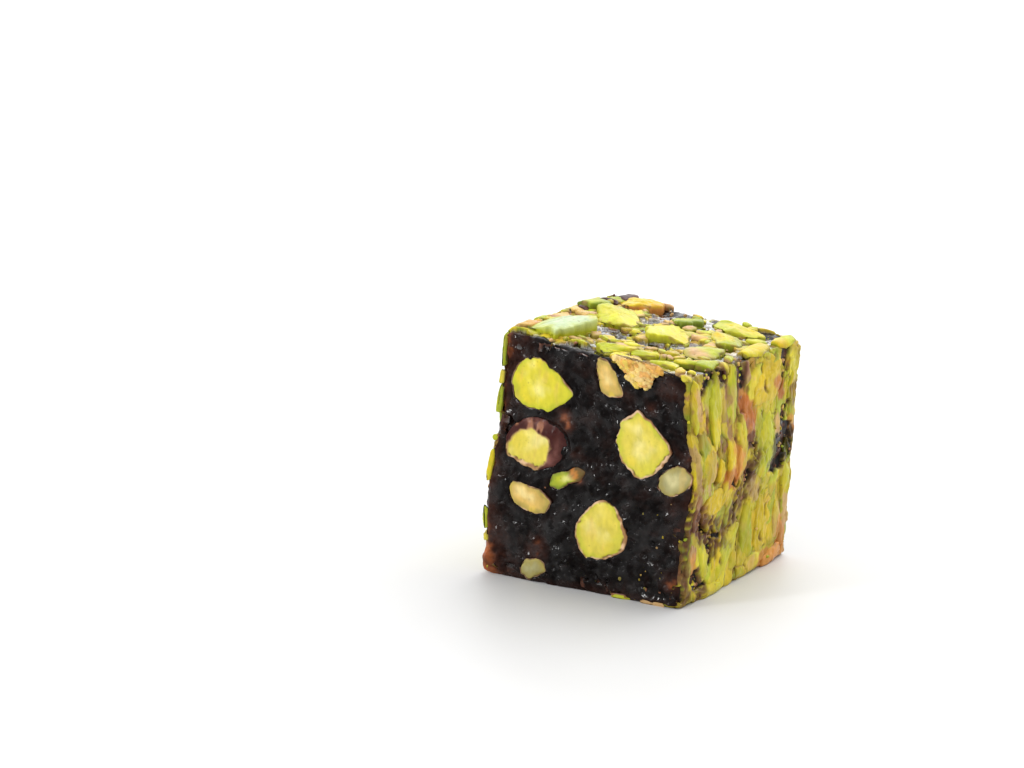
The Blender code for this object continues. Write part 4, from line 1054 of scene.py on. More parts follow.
class CoatRelief:
    def __init__(self, first, last, step, seed):
        self.around = np.linspace(first, last, int((last - first) / step) + 1)
        self.along = np.linspace(-halfDepth, halfDepth, int(2 * halfDepth / step) + 1)
        i, j = np.meshgrid(self.around, self.along, indexing="ij")
        self.spot = spots(i, j, seed * 3.3)
        self.sides = [sideAt(value) for value in self.around]
        self.lift = self.bySide("ground") + 0.12 * cloud(self.spot, 1.4, seed, 3)
        self.lift = self.lift + 0.05 * cloud(self.spot, 0.4, seed + 1)
        paint = patches("mustard", "leaf", -0.4, 0.4, self.spot, 2.2, seed + 2, 2)
        paint = patches(paint, "skin", 0.0, 0.7, self.spot, 1.5, seed + 3, 2)
        paint = patches(paint, "orange", 0.45, 0.9, self.spot, 1.8, seed + 4, 2, 0.6)
        wet = self.bySide("dark") * smooth(-0.6, 0.1, cloud(self.spot, 1.7, seed + 5, 3))
        self.paint = blend(paint, "jelly", wet)
        self.shine = coatFill["roughness"]["ground"] - self.bySide("gloss") * wet

    def bySide(self, key):
        return np.array([coatFill[key][side] for side in self.sides])[:, None]

    def spread(self, values, reach, rounds=1):
        # the mean of each point's surroundings
        steps = max(1, int(reach / (self.along[1] - self.along[0])))
        for _ in range(rounds):
            for axis in (0, 1):
                values = sum(np.roll(values, shift, axis) for shift in range(-steps, steps + 1)) / (2 * steps + 1)
        return values

    def lay(self, around, along, spec, level, rng):
        # presses one flake into the relief
        length, width, turn, pointed, _, lead, trail, rim, reach = spec
        seed = int(rng.integers(1, 9000))
        out = max(length, width) / 2 + 0.5
        i0, i1 = np.searchsorted(self.around, (around - out, around + out))
        j0, j1 = np.searchsorted(self.along, (along - out, along + out))
        if i1 - i0 < 3 or j1 - j0 < 3:
            return
        climb, run = np.meshgrid(self.around[i0:i1] - around, self.along[j0:j1] - along, indexing="ij")
        p, q = ownAxes(run, climb, around, turn)
        spot = spots(p, q, seed * 0.37)
        narrow = 1 - 0.45 * pointed * np.maximum(0, p * 2 / length) ** 2
        square = 2.8  # how squarish a flake is before it is chopped
        rounded = (np.abs(p * 2 / length) ** square + np.abs(q * 2 / width / narrow) ** square) ** (1 / square)
        inside = (1 - rounded) * width / 2
        for knife in range(4):
            way = rng.normal(0, 0.5) + math.pi * (knife % 2) if knife < 2 else (
                rng.choice((-1, 1)) * rng.uniform(1.2, 1.9))
            half = math.hypot(length / 2 * math.cos(way), width / 2 * math.sin(way))
            limit = half * rng.uniform(0.72, 0.96)
            inside = np.minimum(inside, limit - p * math.cos(way) - q * math.sin(way))
        inside = inside + 0.26 * cloud(spot, 0.9, seed, 3) * min(1, width)
        tilt = rng.uniform(-0.06, 0.06, 2)
        flakes = cloud(spot * (0.4, 1.5, 1), 1.8, seed + 1, 2)
        lift = level + p * tilt[0] + q * tilt[1] + 0.03 * smooth(-0.1, 0.1, flakes)
        lift = lift + 0.03 * cloud(spot * (0.5, 1.3, 1), 1.5, seed + 2, 2) - 0.10 * smooth(0.22, 0.0, inside)
        window = (slice(i0, i1), slice(j0, j1))
        on = (inside > 0) & (lift > self.lift[window] - 0.10)
        self.lift[window] = np.where(on, lift, self.lift[window])
        self.shine[window] = np.where(on, coatFill["roughness"]["flake"], self.shine[window])
        streak = cloud(spot * (0.25, 1.6, 1), 0.9, seed + 3, 3)
        mottle = cloud(spot, 2.4, seed + 4, 2)
        change = smooth(-0.5, 0.5, p * 2 / length * 0.7 + 0.5 * mottle)
        tone = blend(trail, lead, change)
        tone = blend(tone, rim, smooth(0.5, 0.0, inside + 0.2 * mottle) * reach)
        tone = patches(tone, "rose", 0.65, 1.0, spot, 1.4, seed + 5, 2, 0.6)
        tone = tone * (1 + 0.08 * streak + 0.07 * mottle)[..., None]
        share = smooth(0.0, rng.choice((0.08, 0.3, 0.6)), inside) * on
        self.paint[window] = blend(self.paint[window], tone, share)
        # in places a thin dark line is left open along its edge
        gap = smooth(0.15, 0.05, np.abs(inside + 0.07)) * smooth(0.0, 0.3, cloud(spot, 1.7, seed + 6))
        gap = gap * min(1, width / 1.6)
        self.lift[window] -= coatFill["gapDepth"] * gap
        self.paint[window] = blend(self.paint[window], "bark", gap * 0.6)

    def softened(self, cells, seed):
        # cells of the coat as a soft mask over this relief
        cells = cells[(self.around[:, None] / coverCell).astype(int) % coverRound,
                      np.clip((self.along[None] + halfDepth) / coverCell, 0, coverLong - 1).astype(int)]
        return smooth(0.3, 0.7, self.spread(cells.astype(float), 0.2) + 0.25 * cloud(self.spot, 0.7, seed, 2))

    def open(self, seed):
        # lays the jelly free at the bare places, with pits and ridges that glint
        opened = self.softened(bare, seed)
        wrinkled = 0.10 * cloud(self.spot, 1.6, seed + 2, 2) + 0.06 * cloud(self.spot, 0.7, seed + 3)
        self.lift = self.lift * (1 - opened) + (wrinkled - self.bySide("bareDepth")) * opened
        dark = patches("jelly", "bark", -0.2, 0.7, self.spot, 0.9, seed + 1, 2, 0.7)
        self.paint = blend(self.paint, dark, np.clip(opened * 1.5, 0, 1))
        wet = self.bySide("bareShine") + 0.08 * cloud(self.spot, 0.8, seed + 4)
        self.shine = self.shine * (1 - opened) + wet * opened
        self.lift -= coatFill["goneDepth"] * self.softened(gone, seed + 5)

    def shade(self):
        # some regions are smoothed; in the crisp ones the hollows are painted brown as shade
        mean = self.spread(self.lift, 0.45, 2)
        crisp = smooth(-0.25, 0.35, cloud(self.spot, 3.6, 153, 2))
        self.lift = self.lift + (mean - self.lift) * 0.55 * (1 - crisp)
        # painted shade in the hollows under the smoothed mean, strongest in the crisp regions
        hollowShade = smooth(0.03, 0.20, mean - self.lift) * (0.1 + 0.75 * crisp)
        brown = patches("bark", "skin", -0.4, 0.4, self.spot, 1.3, 151, 2)
        self.paint = blend(self.paint, brown, hollowShade * 0.8)
        self.paint = self.paint * (1 - 0.22 * smooth(-0.3, 0.5, cloud(self.spot, 3.4, 152, 2)))[..., None]

    def build(self, parts):
        around, along, lift = (part.ravel() for part in (self.spot[..., 0], self.spot[..., 1], self.lift))
        # both ends are ragged where the knife went through
        nearCut = smooth(halfDepth - 0.9, halfDepth, np.abs(along))
        torn = cloud(spots(around, np.sign(along) * 5, 0), 1.3, 131, 3)
        along = along - np.sign(along) * nearCut * 0.55 * np.maximum(0, torn + 0.1)
        lift = lift - nearCut * (0.12 + 0.25 * np.maximum(0, torn))
        points = overCoat(around, along, lift, 0.03)
        index = np.arange(self.lift.size).reshape(self.lift.shape)
        quads = gridFaces(index)
        loop = np.concatenate([index[:, 0], index[-1, 1:], index[-2::-1, -1], index[0, -2:0:-1]])
        inner = overCoat(around[loop], along[loop] * 0.99, -0.55 + 0.25 * torn[loop], 0.02)
        under = self.lift.size + np.arange(len(loop))
        walls = np.stack([loop, np.roll(loop, -1), np.roll(under, -1), under], 1)
        tones = self.paint.reshape(-1, 3)
        tones = np.concatenate([tones, blend(tones[loop], "bark", np.full(len(loop), 0.5))])
        shines = np.concatenate([self.shine.ravel(), np.full(len(loop), 0.4)])
        parts.add(np.concatenate([points, inner]), [quads, walls], tones, shines)


def makeCoatFill(nearParts, farParts, rng):
    topLeft = distanceTo("top", outerLeft + edgeRadius) + cornerArc / 2
    reliefs = (CoatRelief(-cornerArc * 0.8, topLeft, coatFill["steps"]["near"], 101),
               CoatRelief(topLeft - 0.2, perimeter - cornerArc * 0.5, coatFill["steps"]["far"], 111))
    baseLeft = topLeft + sideFlat + cornerArc
    spans = {"right": (-0.5, sideFlat + cornerArc), "top": (sideFlat + cornerArc / 2, topLeft),
             "left": (topLeft, baseLeft), "base": (baseLeft, perimeter)}
    for side, (first, last) in spans.items():
        relief = reliefs[0] if side in ("right", "top") else reliefs[1]
        tones, rims = coatFill["tones"][side], coatFill["rims"]
        low, high = coatFill["level"][side]
        for length, width, count in coatFill["kinds"][side]:
            end = last - (length * 0.45 if side == "right" else 0)  # none folds over the top edge
            for _ in range(count):
                turn = rng.normal(*coatFill["turn"][side]) if side in coatFill["turn"] else rng.uniform(0, 180)
                lead = tones[rng.integers(len(tones))]
                trail = lead if rng.random() < 0.5 else tones[rng.integers(len(tones))]
                size = rng.uniform(0.8, 1.25)
                spec = (length * size, width * size, turn, rng.uniform(0, 0.7), 0.5, lead, trail,
                        rims[rng.integers(len(rims))], rng.uniform(0.2, 0.8))
                relief.lay(rng.uniform(first, end), rng.uniform(-halfDepth, halfDepth), spec,
                           rng.uniform(low, high), rng)
    near = reliefs[0]
    for across, along, *shape in lesserSlivers["right"]:
        near.lay(distanceTo("right", across), along, shape, rng.uniform(0.34, 0.5), rng)
    near.paint, near.lift = stained(near.paint, near.lift, near.spot[..., 0], near.spot[..., 1])
    deep = crackDepth(near.spot[..., 0], near.spot[..., 1])
    near.lift = near.lift - coatFill["crackDepth"] * deep
    near.paint = blend(near.paint, "bark", deep * 0.95)
    for relief, parts in zip(reliefs, (nearParts, farParts)):
        relief.shade()
        relief.open(121)
        relief.build(parts)


# Smaller pieces pressed in between the large ones, side by side: length, width and most of each kind
smallSlivers = {
    "top": {
        "kinds": ((3.2, 1.9, 10), (2.4, 1.4, 16), (1.7, 1.1, 16)),
        "cover": 0.80, "overlap": 0.26, "onLarge": 0.12, "stand": 0.42,
        "tones": ("lemon", "lemon", "lime", "lime", "leaf", "yellow", "rose", "tan", "peach", "mustard"),
    },
    "left": {
        "kinds": ((7.0, 3.4, 18), (5.4, 2.7, 40), (4.2, 2.1, 70), (3.2, 1.6, 110), (2.2, 1.2, 150),
                  (1.5, 0.9, 160)),
        "cover": 0.93, "overlap": 0.45, "onLarge": 0.25, "stand": 0.26,
        "tones": ("lemon", "lime", "lime", "leaf", "leaf", "green", "gold", "peach", "tan"),
    },
    "base": {
        "kinds": ((6.6, 3.2, 26), (4.8, 2.3, 60), (3.4, 1.8, 90), (2.2, 1.2, 110)),
        "cover": 0.82, "overlap": 0.35, "onLarge": 0.5, "stand": 0.03,
        "tones": ("lemon", "lime", "lime", "leaf", "gold", "tan"),
    },
}
crumbStyle = {
    "count": 2600,
    "smallest": 0.08,
    "largest": 0.34,
    "skipped": {"coat": 0.96, "top": 0.74, "other": 0.3},  # the share left out on slivers, on top, elsewhere
    "coatTones": ("gold", "lime", "leaf", "mustard", "peach"),
    "openTones": ("lemon", "leaf", "peach", "tan", "rose", "skin", "skin", "bark"),
    "beadTones": ("lemon", "mustard", "peach", "rose", "skin", "tan"),
    "specks": 46,
    "speckTones": ("tan", "mustard", "peach", "skin", "olive"),
}
smallRims = ("lime", "leaf", "olive", "tan")
# segments of a small sliver, by the least length it takes
smallSegments = ((4, 34), (2.5, 24), (0, 16))


def placeSmall(parts, side, length, width, rows, rng):
    # tries to lay one small sliver where there is room for it
    look = smallSlivers[side]
    around = (rows[rng.integers(len(rows))] + rng.random()) * coverCell
    along = rng.uniform(-halfDepth + 0.1, halfDepth - 0.1)
    turn = rng.uniform(0, 180)
    size = rng.uniform(0.8, 1.2)
    cells = footprint(around, along, length * size, width * size, turn)
    if not len(cells[0]) or bare[cells].mean() > 0.06 or cover[cells].mean() > look["overlap"]:
        return 0
    if largeCover[cells].mean() > look["onLarge"]:
        return 0
    cover[cells] = True
    lead, trail = (look["tones"][rng.integers(len(look["tones"]))] for _ in range(2))
    if rng.random() < 0.6:
        trail = lead
    rim = smallRims[rng.integers(len(smallRims))]
    spec = (length * size, width * size, turn, rng.uniform(0.1, 0.8), rng.uniform(0.2, 0.9), lead, trail, rim,
            rng.uniform(0.3, 0.9))
    segments = next(count for least, count in smallSegments if length > least)
    crown, rimDrop = (0.02, 0.03) if side == "base" else (0.14, 0.10)  # pressed flat under the block
    makeSliver(parts, around, along, -1, spec, rng, look["stand"] * rng.uniform(0.7, 1.2),
               (segments, 0.34, 0.5, crown, rimDrop))
    return 1


def scatterSmall(parts, rng):
    for across, along, *shape in lesserSlivers["top"]:
        around = distanceTo("top", across)
        makeSliver(parts, around, along, -1, shape, rng, block["stand"]["top"] * rng.uniform(0.55, 0.8),
                   sliverStyle["lesser"])
        take(footprint(around, along, *shape[:3]))
    for x, y, length, width, turn, high in jellyLumps:
        shape = (length, width, turn, 0.2, 0.3, "bark", "warmJelly", "bark", 0.4)
        makeSliver(parts, distanceTo("top", x), y, -1, shape, rng, high, sliverStyle["lump"])
    sides = np.array([sideAt((i + 0.5) * coverCell) for i in range(coverRound)])
    for side, look in smallSlivers.items():
        rows = np.flatnonzero(sides == side)
        made = 0
        for length, width, most in look["kinds"]:
            placed = 0
            for _ in range(most * 12):
                if placed >= most or cover[rows].mean() > look["cover"]:
                    break
                placed += placeSmall(parts, side, length, width, rows, rng)
            made += placed
        print("small slivers on the", side, made, "cover", round(float(cover[rows].mean()), 2))


def roundBall(subdivisions):
    ball = bmesh.new()
    bmesh.ops.create_icosphere(ball, subdivisions=subdivisions, radius=1.0)
    points = np.array([vertex.co[:] for vertex in ball.verts])
    faces = np.array([[vertex.index for vertex in face.verts] for face in ball.faces])
    ball.free()
    return points, faces


def pick(tones, rng, low, high):
    return np.array(tint[tones[rng.integers(len(tones))]]) * rng.uniform(low, high)


def makeCrumbs(parts, rng):
    points, faces = roundBall(2)
    smallPoints, smallFaces = roundBall(1)
    for number in range(crumbStyle["count"]):
        around = rng.uniform(0, 2 * sideFlat + topFlat + 3 * cornerArc)
        along = rng.uniform(-halfDepth + 0.2, halfDepth - 0.2)
        size = rng.random() ** 2.2  # most are small
        radius = crumbStyle["smallest"] + (crumbStyle["largest"] - crumbStyle["smallest"]) * size
        ball, sides = (points, faces) if radius > 0.28 else (smallPoints, smallFaces)
        stretch = rng.uniform(0.6, 1.35, 3) * (1, 1, 0.7)
        knobs = 1 + 0.35 * cloud(ball * 1.3 + number, 0.9, 83, 2)
        shape = ball * stretch * knobs[:, None] * radius
        column = min(coverLong - 1, int((along + halfDepth) / coverCell))
        onCoat = cover[int(around / coverCell) % coverRound, column]
        onTop = sideFlat + cornerArc < around < sideFlat + cornerArc + topFlat
        if rng.random() < crumbStyle["skipped"]["coat" if onCoat else "top" if onTop else "other"]:
            continue
        lift = (0.30 if onCoat else -0.18) + radius * 0.4
        tone = pick(crumbStyle["coatTones" if onCoat else "openTones"], rng, 0.75, 1.15)
        placed = overCoat(around + shape[:, 0], along + shape[:, 1], lift + shape[:, 2], 0.1)
        parts.add(placed, [sides], tone, 0.45)


def makeBeads(parts, rng):
    # beads of ground nut caught along the seams
    points, faces = roundBall(2)
    for y0, z0, y1, z1, half in openSeams:
        for _ in range(int(math.hypot(y1 - y0, z1 - z0) * 2.4 * min(1, half / 0.6))):
            share, off = rng.random(), rng.uniform(-0.8, 0.8) * half
            radius = rng.uniform(0.14, 0.30)
            knobs = 1 + 0.3 * cloud(points + share * 90, 0.9, 84)
            shape = points * rng.uniform(0.7, 1.4, 3) * radius * knobs[:, None]
            around = z0 + share * (z1 - z0) - edgeRadius + off * 0.5
            placed = overCoat(around + shape[:, 0], y0 + share * (y1 - y0) + off + shape[:, 1],
                              -0.30 + radius * 0.5 + shape[:, 2], 0.1)
            parts.add(placed, [faces], pick(crumbStyle["beadTones"], rng, 0.7, 1.1), 0.42)


def makeSpecks(parts, rng):
    # crumbs dragged over the cuts by the knife, most of them near the right foot of the front
    points, faces = roundBall(1)
    for number in range(crumbStyle["specks"]):
        front = rng.random() < 0.7
        face = -1 if front else 1
        x = 15.0 - abs(rng.normal(0, 4.5)) if front and rng.random() < 0.7 else rng.uniform(-14, 14)
        z = abs(rng.normal(4, 6)) % 32 + 0.6
        radius = rng.uniform(0.10, 0.26)
        knobs = 1 + 0.3 * cloud(points + number, 0.9, 89)
        shape = points * rng.uniform(0.6, 1.6, 3) * radius * knobs[:, None]
        placed = slumped(x + shape[:, 0], face * (halfDepth - 0.1) + shape[:, 1] * 0.5, z + shape[:, 2])
        parts.add(placed, [faces], pick(crumbStyle["speckTones"], rng, 0.4, 0.9), 0.4)


# The broken nut at the top of the front: one crumbly mass within a ragged outline of X, Z
brokenNut = {
    "outline": ((3.4, 34.6), (3.8, 33.6), (4.9, 33.0), (5.5, 32.6), (5.9, 31.9), (6.6, 31.3), (7.8, 31.1),
                (8.5, 31.5), (9.1, 30.9), (9.6, 31.3), (9.5, 32.3), (10.4, 32.8), (11.1, 33.8), (10.6, 34.6),
                (7.0, 35.0)),
    "lumps": 150,
    "out": -16.35,  # Y of the lumps' middles
    "toasted": (0.80, 0.60, 0.28),
}


def makeBrokenNut(parts, rng):
    corners = np.array(brokenNut["outline"])
    points, faces = roundBall(3)
    made = 0
    while made < brokenNut["lumps"]:
        x, z = rng.uniform(3.2, 11.2), rng.uniform(30.8, 35.0)
        ends = np.roll(corners, -1, 0)
        crossing = (corners[:, 1] > z) != (ends[:, 1] > z)
        with np.errstate(divide="ignore", invalid="ignore"):
            at = corners[:, 0] + (z - corners[:, 1]) * (ends[:, 0] - corners[:, 0]) / (ends[:, 1] - corners[:, 1])
        if (crossing & (x < at)).sum() % 2 == 0:
            continue
        edges = np.hypot(*(corners - (x, z)).T).min()
        radius = rng.uniform(0.75, 1.05) if edges > 0.75 and made % 4 == 0 else rng.uniform(0.26, 0.6)
        facets = points.copy()
        for _ in range(9):
            way = rng.normal(0, 1, 3)
            way /= np.linalg.norm(way)
            facets -= np.maximum(facets @ way - rng.uniform(0.55, 0.9), 0)[:, None] * way
        seed = int(rng.integers(1, 999))
        facets *= (1 + 0.30 * cloud(points * 2 + x, 1.0, seed, 3))[:, None]
        shape = facets * radius * (1.25, 0.8, 1.0)
        middle = 0.35 * math.cos((x - 7.3) / 3.4) + (0.25 if radius < 0.6 else 0) * rng.random()
        tone = patches("peach", "gold", -0.5, 0.5, np.array([x, z, 1.0]), 1.8, 97)
        tone = blend(tone, brokenNut["toasted"], 0.2 + rng.random() * 0.5)
        tone = blend(tone, "orange", 0.6 * (rng.random() < 0.12 + 0.08 * abs(x - 7)))
        # painted shade: each lump is darker on its side towards the block, where the crevices are
        inward = smooth(-0.2, 0.5, shape[:, 1] / radius)
        paint = tone * (1.10 + 0.18 * cloud(shape, 0.4, seed + 3, 2) - 0.6 * inward)[:, None]
        placed = slumped(x + shape[:, 0], np.maximum(brokenNut["out"] - middle + shape[:, 1], -halfDepth - 0.8),
                         np.minimum(z + shape[:, 2], outerTop + 0.7))
        parts.add(placed, [faces], paint, 0.45)
        made += 1


# Shared effects, each a shader node group
def startGroup(name, inputs, outputs):
    group = bpy.data.node_groups.new(name, "ShaderNodeTree")
    for label, kind, value in inputs:
        socket = group.interface.new_socket(label, in_out="INPUT", socket_type=kind)
        socket.default_value = value
    for label, kind in outputs:
        group.interface.new_socket(label, in_out="OUTPUT", socket_type=kind)
    return group, group.nodes.new("NodeGroupInput"), group.nodes.new("NodeGroupOutput")


def setInputs(tree, node, values):
    # a socket is linked, and anything else is set on the input itself
    for key, value in values.items():
        if isinstance(value, bpy.types.NodeSocket):
            tree.links.new(value, node.inputs[key])
        else:
            node.inputs[key].default_value = value


def addNode(tree, kind, values=None, **settings):
    node = tree.nodes.new("ShaderNode" + kind)
    for key, value in settings.items():
        setattr(node, key, value)
    setInputs(tree, node, values or {})
    return node


def addMath(tree, operation, first, second, third=0.0):
    return addNode(tree, "Math", {0: first, 1: second, 2: third}, operation=operation).outputs[0]


def spanned(tree, value, low, high, toLow, toHigh):
    node = addNode(tree, "MapRange", {"Value": value, "From Min": low, "From Max": high,
                                      "To Min": toLow, "To Max": toHigh})
    return node.outputs["Result"]


def mixed(tree, share, first, second, mode="MIX"):
    node = addNode(tree, "Mix", {0: share, 6: first, 7: second}, data_type="RGBA", blend_type=mode)
    return node.outputs[2]


def addNoise(tree, place, scale, detail, roughness=0.5):
    return addNode(tree, "TexNoise", {"Vector": place, "Scale": scale, "Detail": detail,
                                      "Roughness": roughness}).outputs["Fac"]


def grey(tree, value):
    return addNode(tree, "CombineColor", {0: value, 1: value, 2: value}).outputs[0]


def makeNutGrain():
    # fine mottle, fibres and dark specks of a cut or broken kernel
    tree, given, out = startGroup("nutGrain", (
        ("Colour", "NodeSocketColor", (0.7, 0.6, 0.1, 1)),
        ("Mottle Scale", "NodeSocketFloat", 900.0),
        ("Mottle Strength", "NodeSocketFloat", 0.3),
        ("Fibre Scale", "NodeSocketFloat", 1600.0),
        ("Speck Scale", "NodeSocketFloat", 900.0),
        ("Speck Strength", "NodeSocketFloat", 0.4),
        ("Speck Colour", "NodeSocketColor", (0.20, 0.085, 0.03, 1)),
    ), (("Colour", "NodeSocketColor"), ("Height", "NodeSocketFloat")))
    asked = given.outputs
    place = addNode(tree, "TexCoord").outputs["Object"]
    mottle = addNoise(tree, place, asked["Mottle Scale"], 4.0, 0.6)
    drawn = addNode(tree, "Mapping", {"Vector": place, "Rotation": (0.4, 0.7, 0.2), "Scale": (1.0, 1.0, 0.3)})
    fibre = addNoise(tree, drawn.outputs["Vector"], asked["Fibre Scale"], 3.0, 0.55)
    cells = addNode(tree, "TexVoronoi", {"Vector": place, "Scale": asked["Speck Scale"]}).outputs["Distance"]
    speck = addMath(tree, "MULTIPLY", spanned(tree, cells, 0.10, 0.22, 1.0, 0.0),
                    spanned(tree, mottle, 0.50, 0.62, 0.0, 1.0))
    speck = addMath(tree, "MULTIPLY", speck, asked["Speck Strength"])
    swing = spanned(tree, addMath(tree, "ADD", mottle, fibre), 0.7, 1.3, 0.55, 1.35)
    light = addNode(tree, "Mix", {0: asked["Mottle Strength"], 2: 1.0, 3: swing}, data_type="FLOAT")
    colour = mixed(tree, 1.0, asked["Colour"], grey(tree, light.outputs[0]), "MULTIPLY")
    height = addMath(tree, "MULTIPLY_ADD", fibre, 0.6, addMath(tree, "MULTIPLY", mottle, 0.5))
    setInputs(tree, out, {
        "Colour": mixed(tree, speck, colour, asked["Speck Colour"]),
        "Height": addMath(tree, "SUBTRACT", height, addMath(tree, "MULTIPLY", speck, 0.4)),
    })
    return tree


def makeDampSheen():
    # how rough the surface is, from the painted shine, drier and wetter in patches
    tree, given, out = startGroup("dampSheen", (
        ("Shine", "NodeSocketFloat", 0.4),
        ("Scale", "NodeSocketFloat", 500.0),
        ("Spread", "NodeSocketFloat", 0.2),
    ), (("Roughness", "NodeSocketFloat"),))
    place = addNode(tree, "TexCoord").outputs["Object"]
    swing = addMath(tree, "SUBTRACT", addNoise(tree, place, given.outputs["Scale"], 3.0), 0.5)
    swing = addMath(tree, "MULTIPLY", swing, given.outputs["Spread"])
    rough = addMath(tree, "ADD", given.outputs["Shine"], swing)
    held = addNode(tree, "Clamp", {"Value": rough, "Min": 0.05, "Max": 1.0})
    setInputs(tree, out, {"Roughness": held.outputs[0]})
    return tree


nutGrain = makeNutGrain()
dampSheen = makeDampSheen()


def startMaterial(name):
    material = bpy.data.materials.new(name)
    material.use_nodes = True
    tree = material.node_tree
    tree.nodes.clear()
    shader = addNode(tree, "BsdfPrincipled")
    addNode(tree, "OutputMaterial", {"Surface": shader.outputs[0]})
    return material, tree, shader


def paintedOn(tree):
    # the colour and the shine that every mesh carries
    paint, shine = (addNode(tree, "Attribute", attribute_name=name) for name in ("paint", "shine"))
    return paint.outputs["Color"], shine.outputs["Fac"]


# mottle scale and strength, fibre scale, speck scale and strength, bump in metres, scattering, coat, specular
nutFinishes = {
    "cutKernel": (700.0, 0.24, 1500.0, 1300.0, 0.35, 0.00007, 0.14, 0.02, 0.13),
    "roastKernel": (800.0, 0.36, 1500.0, 900.0, 0.50, 0.00013, 0.10, 0.02, 0.16),
    "greenKernel": (650.0, 0.36, 1500.0, 900.0, 0.45, 0.00012, 0.12, 0.02, 0.12),
    "yellowKernel": (700.0, 0.36, 1400.0, 850.0, 0.45, 0.00012, 0.12, 0.02, 0.12),
    "smallKernel": (900.0, 0.36, 1700.0, 1000.0, 0.45, 0.00012, 0.10, 0.01, 0.12),
    "crumbKernel": (1600.0, 0.40, 2600.0, 1500.0, 0.35, 0.00010, 0.08, 0.01, 0.12),
}
# what all the kernels have in common
kernelSurface = {
    "Coat Roughness": 0.16,
    "Coat IOR": 1.8,
    "Subsurface Radius": (1.0, 0.8, 0.3),
    "Subsurface Scale": 0.0012,
}
kernelSheen = {"Scale": 420.0, "Spread": 0.3}


def makeKernelMaterial(name):
    mottleScale, mottle, fibreScale, speckScale, speck, bump, scattering, coat, specular = nutFinishes[name]
    material, tree, shader = startMaterial(name)
    paint, shine = paintedOn(tree)
    grain = addNode(tree, "Group", {
        "Colour": paint, "Mottle Scale": mottleScale, "Mottle Strength": mottle, "Fibre Scale": fibreScale,
        "Speck Scale": speckScale, "Speck Strength": speck}, node_tree=nutGrain)
    sheen = addNode(tree, "Group", {"Shine": shine, **kernelSheen}, node_tree=dampSheen)
    relief = addNode(tree, "Bump", {"Strength": 1.0, "Distance": bump, "Height": grain.outputs["Height"]})
    setInputs(tree, shader, {
        "Base Color": grain.outputs["Colour"],
        "Roughness": sheen.outputs["Roughness"],
        "Normal": relief.outputs["Normal"],
        "Specular IOR Level": specular,
        "Coat Weight": spanned(tree, shine, 0.30, 0.20, coat, 1.0),
        "Subsurface Weight": scattering,
        **kernelSurface,
    })
    return material


jellyFinish = {
    "wrinkleScale": 620.0,
    "bubbleScale": 1300.0,
    "bump": 0.00030,
    "wet": 0.32,  # how strong the gloss is where the jelly is wettest
    "sheen": {"Scale": 260.0, "Spread": 0.35},
    "surface": {
        "Specular IOR Level": 0.05,
        "Coat Roughness": 0.10,
        "Subsurface Weight": 0.06,
        "Subsurface Radius": (1.0, 0.35, 0.2),
        "Subsurface Scale": 0.0015,
    },
}


def makeJellyMaterial():
    material, tree, shader = startMaterial("darkJelly")
    paint, shine = paintedOn(tree)
    place = addNode(tree, "TexCoord").outputs["Object"]
    drawn = addNode(tree, "Mapping", {"Vector": place, "Rotation": (0, 0.6, 0), "Scale": (0.8, 1.0, 1.1)})
    wrinkle = addNoise(tree, drawn.outputs["Vector"], jellyFinish["wrinkleScale"], 4.0, 0.55)
    bubbles = addNode(tree, "TexVoronoi", {"Vector": place, "Scale": jellyFinish["bubbleScale"]},
                      feature="SMOOTH_F1")
    pit = spanned(tree, bubbles.outputs["Distance"], 0.05, 0.35, 0.0, 1.0)
    height = addMath(tree, "MULTIPLY_ADD", pit, 0.35, wrinkle)
    relief = addNode(tree, "Bump", {"Strength": 1.0, "Distance": jellyFinish["bump"], "Height": height})
    sheen = addNode(tree, "Group", {"Shine": shine, **jellyFinish["sheen"]}, node_tree=dampSheen)
    # painted shade and light: the jelly is darker in the hollows of the wrinkles that the bump raises and lighter
    # on their ridges
    shade = grey(tree, spanned(tree, wrinkle, 0.3, 0.7, 0.65, 1.5))
    setInputs(tree, shader, {
        "Base Color": mixed(tree, 1.0, paint, shade, "MULTIPLY"),
        "Roughness": sheen.outputs["Roughness"],
        "Normal": relief.outputs["Normal"],
        "Coat Weight": spanned(tree, shine, 0.34, 0.12, 0.0, jellyFinish["wet"]),
        **jellyFinish["surface"],
    })
    return material


materials = {name: makeKernelMaterial(name) for name in nutFinishes}
materials["darkJelly"] = makeJellyMaterial()
print("materials ready")


# What every piece is made of, then the making
roastOnes = (
    "sliver_top_orange", "sliver_right_bark", "sliver_right_ember", "sliver_right_husk", "sliver_right_rust",
    "nut_front_wedge", "nut_front_lens",
)
# last words of the nodes whose slivers are more yellow than green
yellowWords = (
    "edge", "tan", "finger", "thin", "broad", "gold", "slant", "low", "spur", "lemon", "middle", "rear", "front",
)
# every piece: its material, its slot, its mesh and the nodes that it stands for
pieces = {
    "jellyBlock": ("darkJelly", "jelly", MeshParts(), ["jelly"]),
    "cutNuts": ("cutKernel", "cut_nut", MeshParts(), []),
    "roastNuts": ("roastKernel", "roast_nut", MeshParts(), ["nut_front_chunk"]),
    "greenSlivers": ("greenKernel", "green_sliver", MeshParts(), []),
    "yellowSlivers": ("yellowKernel", "yellow_sliver", MeshParts(), []),
    "nearFill": ("smallKernel", "nut_coat", MeshParts(), ["nut_coat"]),
    "farFill": ("smallKernel", "nut_coat", MeshParts(), ["nut_coat"]),
    "smallSlivers": ("smallKernel", "nut_coat", MeshParts(), ["nut_coat"]),
    "crumbs": ("crumbKernel", "nut_coat", MeshParts(), ["nut_coat"]),
}


def partsFor(node, usual):
    # the mesh that a nut or sliver goes into, and its node is noted there
    _, _, parts, nodes = pieces["roastNuts" if node in roastOnes else usual]
    nodes.append(node)
    return parts


